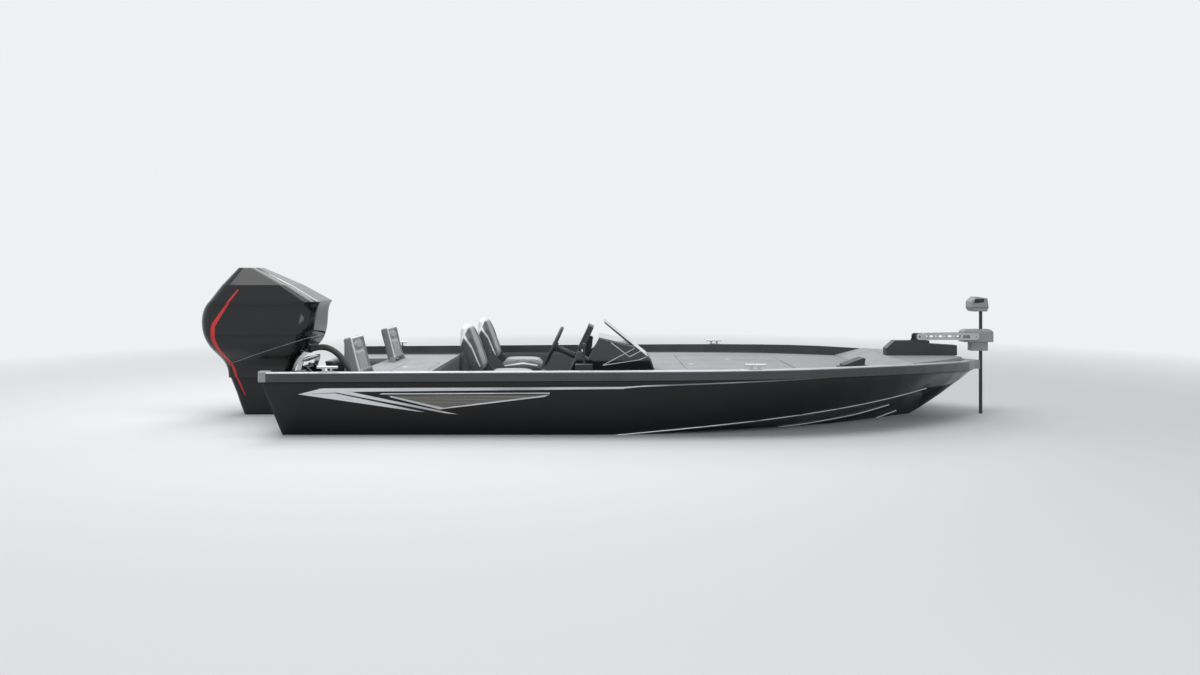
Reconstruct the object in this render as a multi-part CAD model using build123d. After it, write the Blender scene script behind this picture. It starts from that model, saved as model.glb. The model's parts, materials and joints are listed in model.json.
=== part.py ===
from build123d import *
import math
import os

# Aluminum fishing boat with an outboard and a bow-mount trolling motor.
# Millimetres. +X to the bow, +Y to port, +Z up, z = 0 at the waterline.

# Hull lines
STERN_X = -2850.0
BOW_X = 2860.0
TAPER_X = 0.0
HALF_BEAM = 1193.0
STERN_HALF_BEAM = 1158.0
BEAM_ROOM = HALF_BEAM + STERN_HALF_BEAM
BOW_FULLNESS = 3.0
HULL_END_X = 2785.0
CHINE_HALF = 990.0
CHINE_END_X = 2530.0
CHINE_FULLNESS = 2.6
CHINE_Z = -15.0
CHINE_RISE_X = -375.0
CHINE_RISE = 0.0926
CHINE_FLAT = 50.0
CHINE_STEP = 12.0
KEEL_Z = -330.0
FOREFOOT_X = 1100.0
STEM_RISE = 760.0
STEM_POWER = 2.05
SHEER_STERN_Z = 480.0
SHEER_HIGH_X = 1500.0
SHEER_RISE = 25.0
SHEER_DROP = 50.0
TRANSOM_RAKE = 14.0
WALL = 45.0
TRANSOM_WALL = 60.0
LINER_STATIONS = (-2850, CHINE_RISE_X, TAPER_X, 400, 800, 1150, 1450, 1700, 1950, 2150, 2350, CHINE_END_X, 2660)
STATIONS = (*LINER_STATIONS, HULL_END_X)

# Running gaps and seats
SEAT_GAP = 0.3
PIN_GAP = 0.1
MOVE_GAP = 6.0

# Gunwale rail
RAIL_H = 70.0
RAIL_OUT = 12.0
RAIL_ROUND = 16.0
RAIL_AFT_X = -2790.0
RAIL_END_X = 2700.0

# Keel and lifting strakes
KEEL_BAR_W = 26.0
KEEL_BAR_H = 24.0
STRAKE_W = 46.0
STRAKE_H = 20.0
STRAKE_SINK = 14.0
STRAKE_SHARES = (0.36, 0.70)
STRAKE_AFT_X = -2620.0
STRAKE_FORE_X = 2050.0

# Floor, decks and lockers
FLOOR_Z = 30.0
FLOOR_T = 30.0
FRONT_DECK_X = 50.0
FRONT_DECK_Z = 420.0
DECK_T = 30.0
PANEL_T = 20.0
BOW_PANEL_FOOT_X = 1850.0
BOW_PANEL_TOP_X = 2070.0
BOW_CAP_T = 24.0
AFT_DECK_X = -1750.0
AFT_DECK_Z = 400.0
WELL_X = -2340.0
WELL_Z = 110.0
WELL_HALF_W = 700.0
MOTOR_NOTCH_Z = 305.0
NOTCH_HALF_W = 340.0
LID_T = 25.0
HINGE_PIN_R = 6.0
HINGE_PIN_OUT = 16.0

# Helm
CONSOLE_Y = (-800.0, -230.0)
WHEEL_CENTRE = (-743.0, -500.0, 616.0)
WHEEL_TILT = 24.5
WHEEL_R = 158.0
WHEEL_RIM_R = 14.0
WHEEL_SHAFT_R = 10.0

# Seats
HELM_SEAT_Y = (-500.0, 500.0)
HELM_SEAT_W = 470.0
HELM_CUSHION_X = (-1300.0, -880.0)
HELM_CUSHION_Z = (300.0, 430.0)
HELM_PIVOT = (-1345.0, 495.0)
HELM_BACK_LEAN = 18.0
HELM_BACK_UP = 330.0
HELM_BACK_DOWN = 95.0
HELM_BACK_FRONT = 45.0
HELM_BACK_REAR = 60.0
JUMP_SEAT_Y = (-620.0, 530.0)
JUMP_SEAT_W = 360.0
JUMP_PIVOT_X = -2230.0
JUMP_PIVOT_UP = 32.0
JUMP_LEAN = 14.0
JUMP_BACK_UP = 290.0
JUMP_BACK_FRONT = 24.0
JUMP_BACK_REAR = 50.0

# Outboard
TILT_PIVOT = (-2880.0, 385.0)
TILT_PIN_R = 16.0
STEER_X = -3010.0
STEER_TUBE_R = 32.0
CLAMP_Y = 105.0
CLAMP_T = 22.0
PROP_Z = -490.0
PROP_R = 186.0
PROP_HUB_R = 48.0
PROP_SHAFT_R = 13.0
PROP_SHAFT_OUT = 150.0
GEARCASE_R = 62.0

# Trolling motor
ARM_PIVOT = (2335.0, 660.0)
ARM_L = 480.0
ARM_Y = 62.0
ARM_T = 8.0
TROLL_SHAFT_X = 2880.0
TROLL_SHAFT_R = 14.0
TROLL_PIN_R = 7.0
TROLL_MOTOR_Z = -500.0
TROLL_MOTOR_R = 46.0
TROLL_PROP_R = 125.0
TROLL_AXLE_R = 6.0
TROLL_AXLE_OUT = 60.0


def sheer_z(x):
    """Top of the gunwale rail."""
    if x < SHEER_HIGH_X:
        return SHEER_STERN_Z + SHEER_RISE * (x - STERN_X) / (SHEER_HIGH_X - STERN_X)
    ahead = (x - SHEER_HIGH_X) / (BOW_X - SHEER_HIGH_X)
    return SHEER_STERN_Z + SHEER_RISE - SHEER_DROP * ahead ** 2


def half_beam(x):
    """Half width of the hull skin under the rail."""
    if x < TAPER_X:
        return HALF_BEAM + (STERN_HALF_BEAM - HALF_BEAM) * (TAPER_X - x) / (TAPER_X - STERN_X)
    return HALF_BEAM * (1 - ((x - TAPER_X) / (BOW_X - TAPER_X)) ** BOW_FULLNESS)


def skew(x):
    """Length across Y of one unit across the skin."""
    step = 1.0
    return math.hypot(1, (half_beam(x + step) - half_beam(x - step)) / (2 * step))


def keel_z(x):
    ahead = max(0.0, (x - FOREFOOT_X) / (BOW_X - FOREFOOT_X))
    return KEEL_Z + STEM_RISE * ahead ** STEM_POWER


def chine_z(x):
    line = CHINE_Z + CHINE_RISE * max(0.0, x - CHINE_RISE_X)
    return max(line, keel_z(x) + 0.2 * (sheer_z(x) - RAIL_H - keel_z(x)))


def chine_half(x):
    ahead = min(1.0, max(0.0, (x - TAPER_X) / (CHINE_END_X - TAPER_X)))
    return max(CHINE_HALF * (1 - ahead ** CHINE_FULLNESS), 0.3 * half_beam(x))


def mirrored_face(x, half):
    """Face across the boat at x from points (y, z) that run up the port side."""
    port = [(x, y, z) for y, z in half]
    starboard = [(x, -y, z) for y, z in reversed(half) if y > 0]
    return make_face(Polyline(*port, *starboard, close=True))


def outer_section(x):
    chine = chine_half(x)
    flat = min(CHINE_FLAT, 0.3 * chine)
    half = [
        (0, keel_z(x)),
        (chine - flat, chine_z(x) - min(CHINE_STEP, 0.3 * (chine_z(x) - keel_z(x)))),
        (chine, chine_z(x)),
        (half_beam(x), sheer_z(x) - RAIL_H),
    ]
    return mirrored_face(x, half)


def liner_section(x, gap):
    wall = (WALL + gap) * skew(x)
    top = half_beam(x) - wall
    half = [
        (0, keel_z(x) + WALL + gap),
        (max(chine_half(x) - wall, 0.3 * top), chine_z(x) + 10 + gap),
        (top, sheer_z(x) - RAIL_H),
        (top, sheer_z(x) + 200),
    ]
    return mirrored_face(x, half)


def prism(points, y0, y1):
    """Solid from a side outline (x, z), from y0 to y1."""
    face = make_face(Polyline(*[(x, y0, z) for x, z in points], close=True))
    return extrude(face, amount=y1 - y0, dir=(0, 1, 0))


def plan(points, z0, z1):
    """Solid from a plan outline (x, y), from z0 to z1."""
    face = make_face(Polyline(*[(x, y, z0) for x, y in points], close=True))
    return extrude(face, amount=z1 - z0, dir=(0, 0, 1))


def block(x0, x1, y0, y1, z0, z1):
    return Pos((x0 + x1) / 2, (y0 + y1) / 2, (z0 + z1) / 2) * Box(x1 - x0, y1 - y0, z1 - z0)


def bar_y(x, z, r, y0, y1):
    return Pos(x, (y0 + y1) / 2, z) * Rot(90, 0, 0) * Cylinder(r, y1 - y0)


def bar_x(y, z, r, x0, x1):
    return Pos((x0 + x1) / 2, y, z) * Rot(0, 90, 0) * Cylinder(r, x1 - x0)


def bar_z(x, y, r, z0, z1):
    return Pos(x, y, (z0 + z1) / 2) * Cylinder(r, z1 - z0)


def rounded_section(x0, x1, half_w, r, z):
    """Level rounded rectangle from x0 to x1, centred on y = 0."""
    return Pos((x0 + x1) / 2, 0, z) * RectangleRounded(abs(x1 - x0), 2 * half_w, r)


def turned(solid, pivot, angle):
    """Turn about the Y axis through pivot (x, z); positive leans the top forward."""
    return Pos(pivot[0], 0, pivot[1]) * Rot(0, angle, 0) * Pos(-pivot[0], 0, -pivot[1]) * solid


def transom_x(z):
    """Aft face of the raked transom."""
    foot = STERN_X + (SHEER_STERN_Z - KEEL_Z) * math.tan(math.radians(TRANSOM_RAKE))
    return foot - (z - KEEL_Z) * math.tan(math.radians(TRANSOM_RAKE))


def ahead_of_transom(depth):
    """Large solid ahead of the plane that lies depth inside the transom's aft face."""
    low, high = KEEL_Z - 200, SHEER_STERN_Z + 400
    return prism(
        [(transom_x(low) + depth, low), (BOW_X + 200, low),
         (BOW_X + 200, high), (transom_x(high) + depth, high)],
        -HALF_BEAM - 200, HALF_BEAM + 200)


nodes = {}

# Hull: one skin with its chine, keel bar and lifting strakes
outer = loft([outer_section(x) for x in STATIONS], ruled=True)
liner = loft([liner_section(x, 0) for x in LINER_STATIONS], ruled=True)
fitted = loft([liner_section(x, SEAT_GAP) for x in LINER_STATIONS], ruled=True)


def strake_section(x, share, side):
    """Wedge under the bottom at a share of the way from keel to chine."""
    y = share * (chine_half(x) - CHINE_FLAT)
    z = keel_z(x) + share * (chine_z(x) - CHINE_STEP - keel_z(x))
    slope = (chine_z(x) - keel_z(x)) / chine_half(x)
    points = [
        (x, side * y, z + STRAKE_SINK),
        (x, side * y, z - STRAKE_H * (1 - 0.6 * share)),
        (x, side * (y + STRAKE_W), z + slope * STRAKE_W + STRAKE_SINK),
    ]
    return make_face(Polyline(*points, close=True))


hull = outer
strake_stations = (STRAKE_AFT_X, *[x for x in STATIONS if STRAKE_AFT_X < x < STRAKE_FORE_X], STRAKE_FORE_X)
for side in (-1, 1):
    for share in STRAKE_SHARES:
        hull += loft([strake_section(x, share, side) for x in strake_stations], ruled=True)
hull += block(transom_x(KEEL_Z) + 20, FOREFOOT_X, -KEEL_BAR_W / 2, KEEL_BAR_W / 2,
              KEEL_Z - KEEL_BAR_H, KEEL_Z + KEEL_BAR_H)
inside = block(STERN_X - 100, BOW_X, -BEAM_ROOM, BEAM_ROOM, FLOOR_Z - FLOOR_T, SHEER_STERN_Z + 100)
cavity = liner & inside & ahead_of_transom(TRANSOM_WALL)
notch = block(STERN_X - 200, transom_x(MOTOR_NOTCH_Z) + 200, -NOTCH_HALF_W, NOTCH_HALF_W,
              MOTOR_NOTCH_Z, SHEER_STERN_Z + 100)
nodes["hull_shell"] = (hull & ahead_of_transom(0)) - cavity - notch

# What fits inside the hull walls and behind the transom wall
fitted_space = fitted & ahead_of_transom(TRANSOM_WALL + SEAT_GAP)


def fitted_slab(x0, x1, z0, z1, y0=-BEAM_ROOM, y1=BEAM_ROOM):
    return fitted_space & block(x0, x1, y0, y1, z0, z1)


# Gunwale rails, one extrusion a side, bent round to the bow
def rail_section(x, side):
    top = sheer_z(x)
    out = half_beam(x) + RAIL_OUT
    inn = half_beam(x) - WALL * skew(x)
    low = top - RAIL_H
    corner = RAIL_ROUND
    line = Polyline((x, side * inn, top), (x, side * inn, low + SEAT_GAP),
                    (x, side * out, low + SEAT_GAP), (x, side * out, top - corner))
    bow_out = corner * (1 - math.sqrt(0.5))
    bend = ThreePointArc((x, side * out, top - corner), (x, side * (out - bow_out), top - bow_out),
                         (x, side * (out - corner), top))
    lid = Line((x, side * (out - corner), top), (x, side * inn, top))
    return make_face([line, bend, lid])


rail_stations = (RAIL_AFT_X, *LINER_STATIONS[1:], RAIL_END_X)
rails = [loft([rail_section(x, side) for x in rail_stations], ruled=True) for side in (-1, 1)]
nodes["gunwale_rails"] = Compound(rails)

# Cast caps that close the rails at the transom corners
caps = []
for side in (-1, 1):
    inner_y, outer_y = half_beam(STERN_X) - WALL - 60, half_beam(STERN_X) + RAIL_OUT
    cap = plan([(RAIL_AFT_X - SEAT_GAP, side * inner_y), (RAIL_AFT_X - SEAT_GAP, side * outer_y),
                (-2835, side * outer_y), (-2868, side * (outer_y - 60)), (-2868, side * inner_y)],
               SHEER_STERN_Z - RAIL_H + 2 * SEAT_GAP, SHEER_STERN_Z + 2)
    caps.append(cap)
nodes["transom_corner_caps"] = Compound(caps)

# Floor and front deck with its lockers
nodes["cockpit_floor"] = fitted_slab(WELL_X, FRONT_DECK_X + 1800, FLOOR_Z - FLOOR_T + SEAT_GAP, FLOOR_Z)

# Lids: name, x0, x1, y0, y1, deck top, hinge edge
LIDS = (
    ("front_lid_centre", 330.0, 1230.0, -300.0, 300.0, FRONT_DECK_Z, "fore"),
    ("front_lid_port", 330.0, 1230.0, 380.0, 800.0, FRONT_DECK_Z, "port"),
    ("front_lid_starboard", 330.0, 1230.0, -800.0, -380.0, FRONT_DECK_Z, "starboard"),
    ("aft_lid", -2090.0, -1800.0, -390.0, 300.0, AFT_DECK_Z, "fore"),
)


def lid_axis(row):
    """Hinge line of a lid: its fixed coordinate and its height."""
    name, x0, x1, y0, y1, top, edge = row
    inset = LID_T / 2
    at = {"fore": x1 - inset, "port": y1 - inset, "starboard": y0 + inset}[edge]
    return at, top - inset


def lid_solid(row, grow=0.0, reach=HINGE_PIN_OUT, pin_r=HINGE_PIN_R):
    """Flush lid with a round hinge edge and a pin out of each end of it."""
    name, x0, x1, y0, y1, top, edge = row
    at, z = lid_axis(row)
    r = LID_T / 2
    if edge == "fore":
        plate = block(x0, at, y0, y1, top - LID_T, top)
        return plate + bar_y(at, z, r, y0, y1) + bar_y(at, z, pin_r, y0 - reach, y1 + reach)
    lo, hi = (y0, at) if edge == "port" else (at, y1)
    plate = block(x0, x1, lo, hi, top - LID_T, top)
    return plate + bar_x(at, z, r, x0, x1) + bar_x(at, z, pin_r, x0 - reach, x1 + reach)


def lid_opening(row):
    """Hole in the deck for a lid and its hinge pins."""
    name, x0, x1, y0, y1, top, edge = row
    at, z = lid_axis(row)
    gap = MOVE_GAP
    hole = block(x0 - gap, x1 + gap, y0 - gap, y1 + gap, top - DECK_T - 1, top + 1)
    reach = HINGE_PIN_OUT + 1
    if edge == "fore":
        return hole + bar_y(at, z, HINGE_PIN_R + PIN_GAP, y0 - reach, y1 + reach)
    return hole + bar_x(at, z, HINGE_PIN_R + PIN_GAP, x0 - reach, x1 + reach)


LATCH_R = 26.0
LATCH_T = 2.0
for row in LIDS:
    name, x0, x1, y0, y1, top, edge = row
    latch_x = x0 + 60 if edge == "fore" else (x0 + x1) / 2
    latch_y = {"fore": (y0 + y1) / 2, "port": y0 + 50, "starboard": y1 - 50}[edge]
    nodes[name] = lid_solid(row) + bar_z(latch_x, latch_y, LATCH_R, top - LATCH_T, top + LATCH_T)

front_deck = fitted_slab(FRONT_DECK_X, BOW_PANEL_FOOT_X, FRONT_DECK_Z - DECK_T, FRONT_DECK_Z)
aft_deck = fitted_slab(STERN_X, AFT_DECK_X, AFT_DECK_Z - DECK_T, AFT_DECK_Z)
aft_deck -= block(STERN_X - 100, WELL_X, -WELL_HALF_W, WELL_HALF_W, 0, AFT_DECK_Z + 100)
for row in LIDS:
    if row[5] == FRONT_DECK_Z:
        front_deck -= lid_opening(row)
    else:
        aft_deck -= lid_opening(row)
nodes["front_deck"] = front_deck

# Upright panels: the step bulkhead, and walls between the lockers
under_front = FRONT_DECK_Z - DECK_T - SEAT_GAP
locker_y = (300.0 + 380.0) / 2
panels = fitted_slab(FRONT_DECK_X, FRONT_DECK_X + PANEL_T, FLOOR_Z + SEAT_GAP, under_front)
for side in (-1, 1):
    panels += fitted_slab(FRONT_DECK_X + PANEL_T, 1400, FLOOR_Z + SEAT_GAP, under_front,
                          side * locker_y - PANEL_T / 2, side * locker_y + PANEL_T / 2)
panels += fitted_slab(1400, 1400 + PANEL_T, FLOOR_Z + SEAT_GAP, under_front)
nodes["locker_walls"] = panels

nodes["aft_bulkhead"] = fitted_slab(AFT_DECK_X - PANEL_T, AFT_DECK_X, FLOOR_Z + SEAT_GAP,
                                    AFT_DECK_Z - DECK_T - SEAT_GAP)

# Splashwell: a tray ahead of the notch, open to the motor
well = fitted_slab(STERN_X, WELL_X + PANEL_T, WELL_Z - DECK_T, AFT_DECK_Z - DECK_T - SEAT_GAP,
                   -WELL_HALF_W - PANEL_T, WELL_HALF_W + PANEL_T)
well -= block(STERN_X - 100, WELL_X, -WELL_HALF_W, WELL_HALF_W, WELL_Z, AFT_DECK_Z)
nodes["splashwell"] = well

# Jump seat hinge ears stand on the aft deck
EAR_T = 10.0
jump_z = AFT_DECK_Z + JUMP_PIVOT_UP
for seat_y in JUMP_SEAT_Y:
    for side in (-1, 1):
        inner = seat_y + side * (JUMP_SEAT_W / 2 + MOVE_GAP)
        outer_y = inner + side * EAR_T
        lo, hi = min(inner, outer_y), max(inner, outer_y)
        ear = prism([(JUMP_PIVOT_X - 34, AFT_DECK_Z - 1), (JUMP_PIVOT_X + 34, AFT_DECK_Z - 1),
                     (JUMP_PIVOT_X + 16, jump_z + 16), (JUMP_PIVOT_X - 16, jump_z + 16)], lo, hi)
        aft_deck += ear
    reach = JUMP_SEAT_W / 2 + MOVE_GAP + EAR_T + 1
    aft_deck -= bar_y(JUMP_PIVOT_X, jump_z, HINGE_PIN_R + PIN_GAP, seat_y - reach, seat_y + reach)
nodes["aft_deck"] = aft_deck


def seat_back(pivot, y, w, up, down, front, rear, lean, edge_r, pin_reach):
    """Padded back about its hinge pin, leaning aft."""
    x, z = pivot
    pad = block(x - rear, x + front, y - w / 2, y + w / 2, z - down, z + up)
    pad = fillet(pad.edges().filter_by(Axis.X), edge_r)
    pad = fillet(pad.faces().sort_by(Axis.X)[-1].edges(), 14)
    pad += bar_y(x, z, HINGE_PIN_R, y - w / 2 - pin_reach, y + w / 2 + pin_reach)
    return turned(pad, pivot, -lean)


JUMP_NAMES = ("jump_seat_back_starboard", "jump_seat_back_port")
for name, seat_y in zip(JUMP_NAMES, JUMP_SEAT_Y):
    nodes[name] = seat_back((JUMP_PIVOT_X, jump_z), seat_y, JUMP_SEAT_W, JUMP_BACK_UP, 20,
                            JUMP_BACK_FRONT, JUMP_BACK_REAR, JUMP_LEAN, 18, MOVE_GAP + EAR_T)

# Helm seats: box, frame with hinge arms, cushion and folding back
HELM_NAMES = ("starboard", "port")
for name, seat_y in zip(HELM_NAMES, HELM_SEAT_Y):
    x0, x1 = HELM_CUSHION_X
    z0, z1 = HELM_CUSHION_Z
    half = HELM_SEAT_W / 2
    box_top = z0 - PANEL_T - SEAT_GAP
    nodes["helm_seat_base_" + name] = prism(
        [(x0 - 90, FLOOR_Z + SEAT_GAP), (x1 - 70, FLOOR_Z + SEAT_GAP), (x1 - 70, 90), (x1 - 20, 120),
         (x1 - 20, box_top), (x0 - 90, box_top)], seat_y - half + 20, seat_y + half - 20)
    frame = block(x0 - 60, x1 - 10, seat_y - half, seat_y + half, z0 - PANEL_T - SEAT_GAP, z0 - SEAT_GAP)
    px, pz = HELM_PIVOT
    for side in (-1, 1):
        inner = seat_y + side * (half + MOVE_GAP)
        outer_y = inner + side * EAR_T
        lo, hi = min(inner, outer_y), max(inner, outer_y)
        arm = prism([(x0 - 40, z0 - PANEL_T - SEAT_GAP), (x0 + 130, z0 - PANEL_T - SEAT_GAP),
                     (x0 + 130, z0 + 30), (px + 60, pz - 50), (px + 26, pz + 14), (px, pz + 26),
                     (px - 26, pz + 8), (px - 24, pz - 60)], lo, hi)
        foot = block(x0 - 30, x0 + 120, min(seat_y + side * half - side * 5, outer_y),
                     max(seat_y + side * half - side * 5, outer_y), z0 - PANEL_T - SEAT_GAP, z0 - SEAT_GAP)
        frame += arm + foot
    reach = half + MOVE_GAP + EAR_T + 1
    frame -= bar_y(px, pz, HINGE_PIN_R + PIN_GAP, seat_y - reach, seat_y + reach)
    nodes["helm_seat_base_" + name] += frame
    cushion = block(x0 + 30, x1, seat_y - half, seat_y + half, z0, z1)
    nodes["helm_cushion_" + name] = fillet(cushion.edges().filter_by(Axis.Z), 50)
    nodes["helm_back_" + name] = seat_back(
        HELM_PIVOT, seat_y, HELM_SEAT_W, HELM_BACK_UP, HELM_BACK_DOWN, HELM_BACK_FRONT,
        HELM_BACK_REAR, HELM_BACK_LEAN, 60, MOVE_GAP + EAR_T)

# Console, screen, display, wheel and throttle
CONSOLE_OUTLINE = (
    (-560.0, FLOOR_Z + SEAT_GAP), (-640.0, 390.0), (-544.0, 607.0), (-465.0, 552.0), (-380.0, 708.0),
    (-106.0, 641.0), (17.0, 540.0), (FRONT_DECK_X - SEAT_GAP, 440.0), (FRONT_DECK_X - SEAT_GAP, FLOOR_Z + SEAT_GAP))
CONSOLE_EDGE_R = 12.0
SCREEN_OUTLINE = ((-102.0, 636.0), (-336.0, 824.0), (-344.0, 818.0), (-128.0, 636.0))
SCREEN_INSET = 30.0
DISPLAY_OUTLINE = ((-551.0, 612.0), (-465.0, 792.0), (-425.0, 772.0), (-500.0, 600.0))
DISPLAY_Y = (-660.0, -340.0)
DISPLAY_FOOT = ((-505.0, 620.0), (-450.0, 700.0), (-430.0, 690.0), (-440.0, 604.0), (-462.0, 545.0), (-492.0, 562.0))
DISPLAY_FOOT_Y = (-540.0, -460.0)
console = prism(CONSOLE_OUTLINE, *CONSOLE_Y)
console = fillet(console.faces().sort_by(Axis.Y)[0].edges(), CONSOLE_EDGE_R)
nodes["console"] = console
nodes["console_screen"] = prism(SCREEN_OUTLINE, CONSOLE_Y[0] + SCREEN_INSET, CONSOLE_Y[1] - SCREEN_INSET) - console
display = prism(DISPLAY_OUTLINE, *DISPLAY_Y) + prism(DISPLAY_FOOT, *DISPLAY_FOOT_Y)
nodes["display_unit"] = display - console

wx, wy, wz = WHEEL_CENTRE


def on_wheel(solid):
    """Place a solid built on Z so that +Z runs down the steering column."""
    return Pos(wx, wy, wz) * Rot(0, 90 + WHEEL_TILT, 0) * solid


column = on_wheel(Pos(0, 0, 120) * Cylinder(24, 170)) + on_wheel(Pos(0, 0, 20) * Cylinder(WHEEL_SHAFT_R, 60))
nodes["steering_column"] = column - console
wheel = Torus(WHEEL_R, WHEEL_RIM_R) + Pos(0, 0, 5) * Cylinder(38, 44)
for turn in (90, 210, 330):
    wheel += Rot(0, 0, turn) * Pos(WHEEL_R / 2 + 12, 0, 4) * Box(WHEEL_R - 26, 30, 8)
wheel -= Pos(0, 0, 16) * Cylinder(WHEEL_SHAFT_R + PIN_GAP, 53)
nodes["steering_wheel"] = on_wheel(wheel)

# Throttle: a pod on the starboard side, its hub and its lever
THROTTLE_X = (-560.0, -430.0)
POD_OUT_Y = 20.0 - half_beam(THROTTLE_X[0]) * 0.855
POD_IN_Y = POD_OUT_Y + 70.0
POD_Z = (400.0, 520.0)
HUB_X, HUB_Z, HUB_R = -495.0, 490.0, 26.0
LEVER_TOP_Z = 650.0
SHELF_X = (-600.0, -390.0)
SHELF_Z = (380.0, 405.0)
throttle = block(*THROTTLE_X, POD_OUT_Y, POD_IN_Y, *POD_Z)
throttle += bar_y(HUB_X, HUB_Z, HUB_R, POD_IN_Y, POD_IN_Y + 40)
throttle += block(HUB_X - 10, HUB_X + 10, POD_IN_Y + 18, POD_IN_Y + 35, HUB_Z + 10, LEVER_TOP_Z)
throttle += bar_y(HUB_X, LEVER_TOP_Z + 5, 16, POD_IN_Y, POD_IN_Y + 60)
throttle += fitted_slab(*SHELF_X, *SHELF_Z, -BEAM_ROOM, POD_IN_Y + 25)
nodes["throttle"] = throttle

# Rigging box in the splashwell, cleats, pedal
RIGGING_BOX_X = (-2690.0, -2570.0)
RIGGING_BOX_Y = (440.0, 620.0)
RIGGING_BOX_TOP = 560.0
CLEAT_X = (-2350.0, 750.0)
CLEAT_INSET = 18.0
CLEAT_HORN, CLEAT_POST, CLEAT_R, CLEAT_UP = 75.0, 28.0, 9.0, 34.0
CLEAT_FOOT = (45.0, 14.0, 6.0)
PEDAL_Y = (-330.0, -170.0)
PEDAL_BASE_X = (1600.0, 1820.0)
nodes["rigging_box"] = block(*RIGGING_BOX_X, *RIGGING_BOX_Y, WELL_Z + SEAT_GAP, RIGGING_BOX_TOP)
cleats = []
for side in (-1, 1):
    for cx in CLEAT_X:
        cy = side * (half_beam(cx) - CLEAT_INSET)
        cz = sheer_z(cx) + SEAT_GAP
        cleat = bar_x(cy, cz + CLEAT_UP, CLEAT_R, cx - CLEAT_HORN, cx + CLEAT_HORN)
        for post in (-CLEAT_POST, CLEAT_POST):
            cleat += bar_z(cx + post, cy, CLEAT_R, cz, cz + CLEAT_UP)
        along, across, up = CLEAT_FOOT
        cleat += block(cx - along, cx + along, cy - across, cy + across, cz, cz + up)
        cleats.append(cleat)
nodes["cleats"] = Compound(cleats)
pedal_z = FRONT_DECK_Z + SEAT_GAP
pedal = prism([(PEDAL_BASE_X[0], pedal_z), (PEDAL_BASE_X[1], pedal_z), (PEDAL_BASE_X[1] + 10, pedal_z + 20),
               (PEDAL_BASE_X[0], pedal_z + 8)], *PEDAL_Y)
pedal += prism([(PEDAL_BASE_X[0] + 25, pedal_z + 8), (PEDAL_BASE_X[1] - 30, pedal_z + 16),
                (PEDAL_BASE_X[1] - 20, pedal_z + 80), (PEDAL_BASE_X[1] - 40, pedal_z + 82),
                (PEDAL_BASE_X[0] + 25, pedal_z + 26)], PEDAL_Y[0] + 10, PEDAL_Y[1] - 10)
nodes["foot_pedal"] = pedal

# Bow panel, cap and nose
bow_z = sheer_z(2200) + 8
panel = prism([(BOW_PANEL_FOOT_X + SEAT_GAP, FRONT_DECK_Z - DECK_T), (BOW_PANEL_FOOT_X + 16, FRONT_DECK_Z - DECK_T),
               (BOW_PANEL_TOP_X + 16, bow_z), (BOW_PANEL_TOP_X - 8, bow_z),
               (BOW_PANEL_FOOT_X + SEAT_GAP, FRONT_DECK_Z + 6)], -1300, 1300)
nodes["bow_panel"] = fitted_space & panel
cap = fitted_slab(BOW_PANEL_TOP_X + 16 + SEAT_GAP, 2640, bow_z - BOW_CAP_T, bow_z)
nodes["bow_cap"] = cap


def nose_section(x):
    out = half_beam(x) + RAIL_OUT if x < BOW_X - 20 else 34.0
    return mirrored_face(x, [(0, sheer_z(x) - RAIL_H + SEAT_GAP), (out, sheer_z(x) - RAIL_H + SEAT_GAP),
                             (out, sheer_z(x)), (0, sheer_z(x) + 4)])


nodes["bow_nose"] = loft([nose_section(x) for x in (RAIL_END_X + SEAT_GAP, 2770, 2820, BOW_X)])

# Outboard clamp bracket: two side plates joined across the transom's face
tpx, tpz = TILT_PIVOT
CLAMP_LOW_Z = -60.0
plates = []
for side in (-1, 1):
    face = [(transom_x(CLAMP_LOW_Z) - SEAT_GAP, CLAMP_LOW_Z), (transom_x(MOTOR_NOTCH_Z) - SEAT_GAP, MOTOR_NOTCH_Z),
            (transom_x(MOTOR_NOTCH_Z) - SEAT_GAP, MOTOR_NOTCH_Z + 1.0), (-2748, MOTOR_NOTCH_Z + 1.0),
            (-2748, MOTOR_NOTCH_Z + 26), (tpx + 30, tpz + 30), (tpx - 20, tpz + 40), (tpx - 44, tpz),
            (tpx - 10, 200), (transom_x(CLAMP_LOW_Z) - 70, CLAMP_LOW_Z)]
    y0 = side * CLAMP_Y
    y1 = side * (CLAMP_Y + CLAMP_T)
    plates.append(prism(face, min(y0, y1), max(y0, y1)))
clamp = plates[0] + plates[1]
clamp += prism([(transom_x(CLAMP_LOW_Z) - SEAT_GAP, CLAMP_LOW_Z), (transom_x(60) - SEAT_GAP, 60),
                (transom_x(60) - 22, 60), (transom_x(CLAMP_LOW_Z) - 22, CLAMP_LOW_Z)], -CLAMP_Y - 1, CLAMP_Y + 1)
clamp += bar_y(tpx, tpz, TILT_PIN_R, -CLAMP_Y - CLAMP_T - 8, CLAMP_Y + CLAMP_T + 8)
nodes["clamp_bracket"] = clamp

# Swivel bracket turns on the tilt tube and carries the steering pivot
swivel_half = CLAMP_Y - MOVE_GAP
swivel = prism([(tpx + 34, tpz + 14), (tpx + 10, tpz + 36), (tpx - 20, tpz + 30), (STEER_X + 48, 300),
                (STEER_X + 40, 0), (STEER_X + 62, -20), (STEER_X + 80, 40), (tpx - 34, 290), (tpx + 20, tpz - 30)],
               -swivel_half, swivel_half)
swivel += bar_z(STEER_X, 0, 58, -30, 290)
swivel -= bar_z(STEER_X, 0, STEER_TUBE_R + PIN_GAP, -40, 300)
swivel -= bar_y(tpx, tpz, TILT_PIN_R + PIN_GAP, -200, 200)
nodes["swivel_bracket"] = swivel

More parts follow.
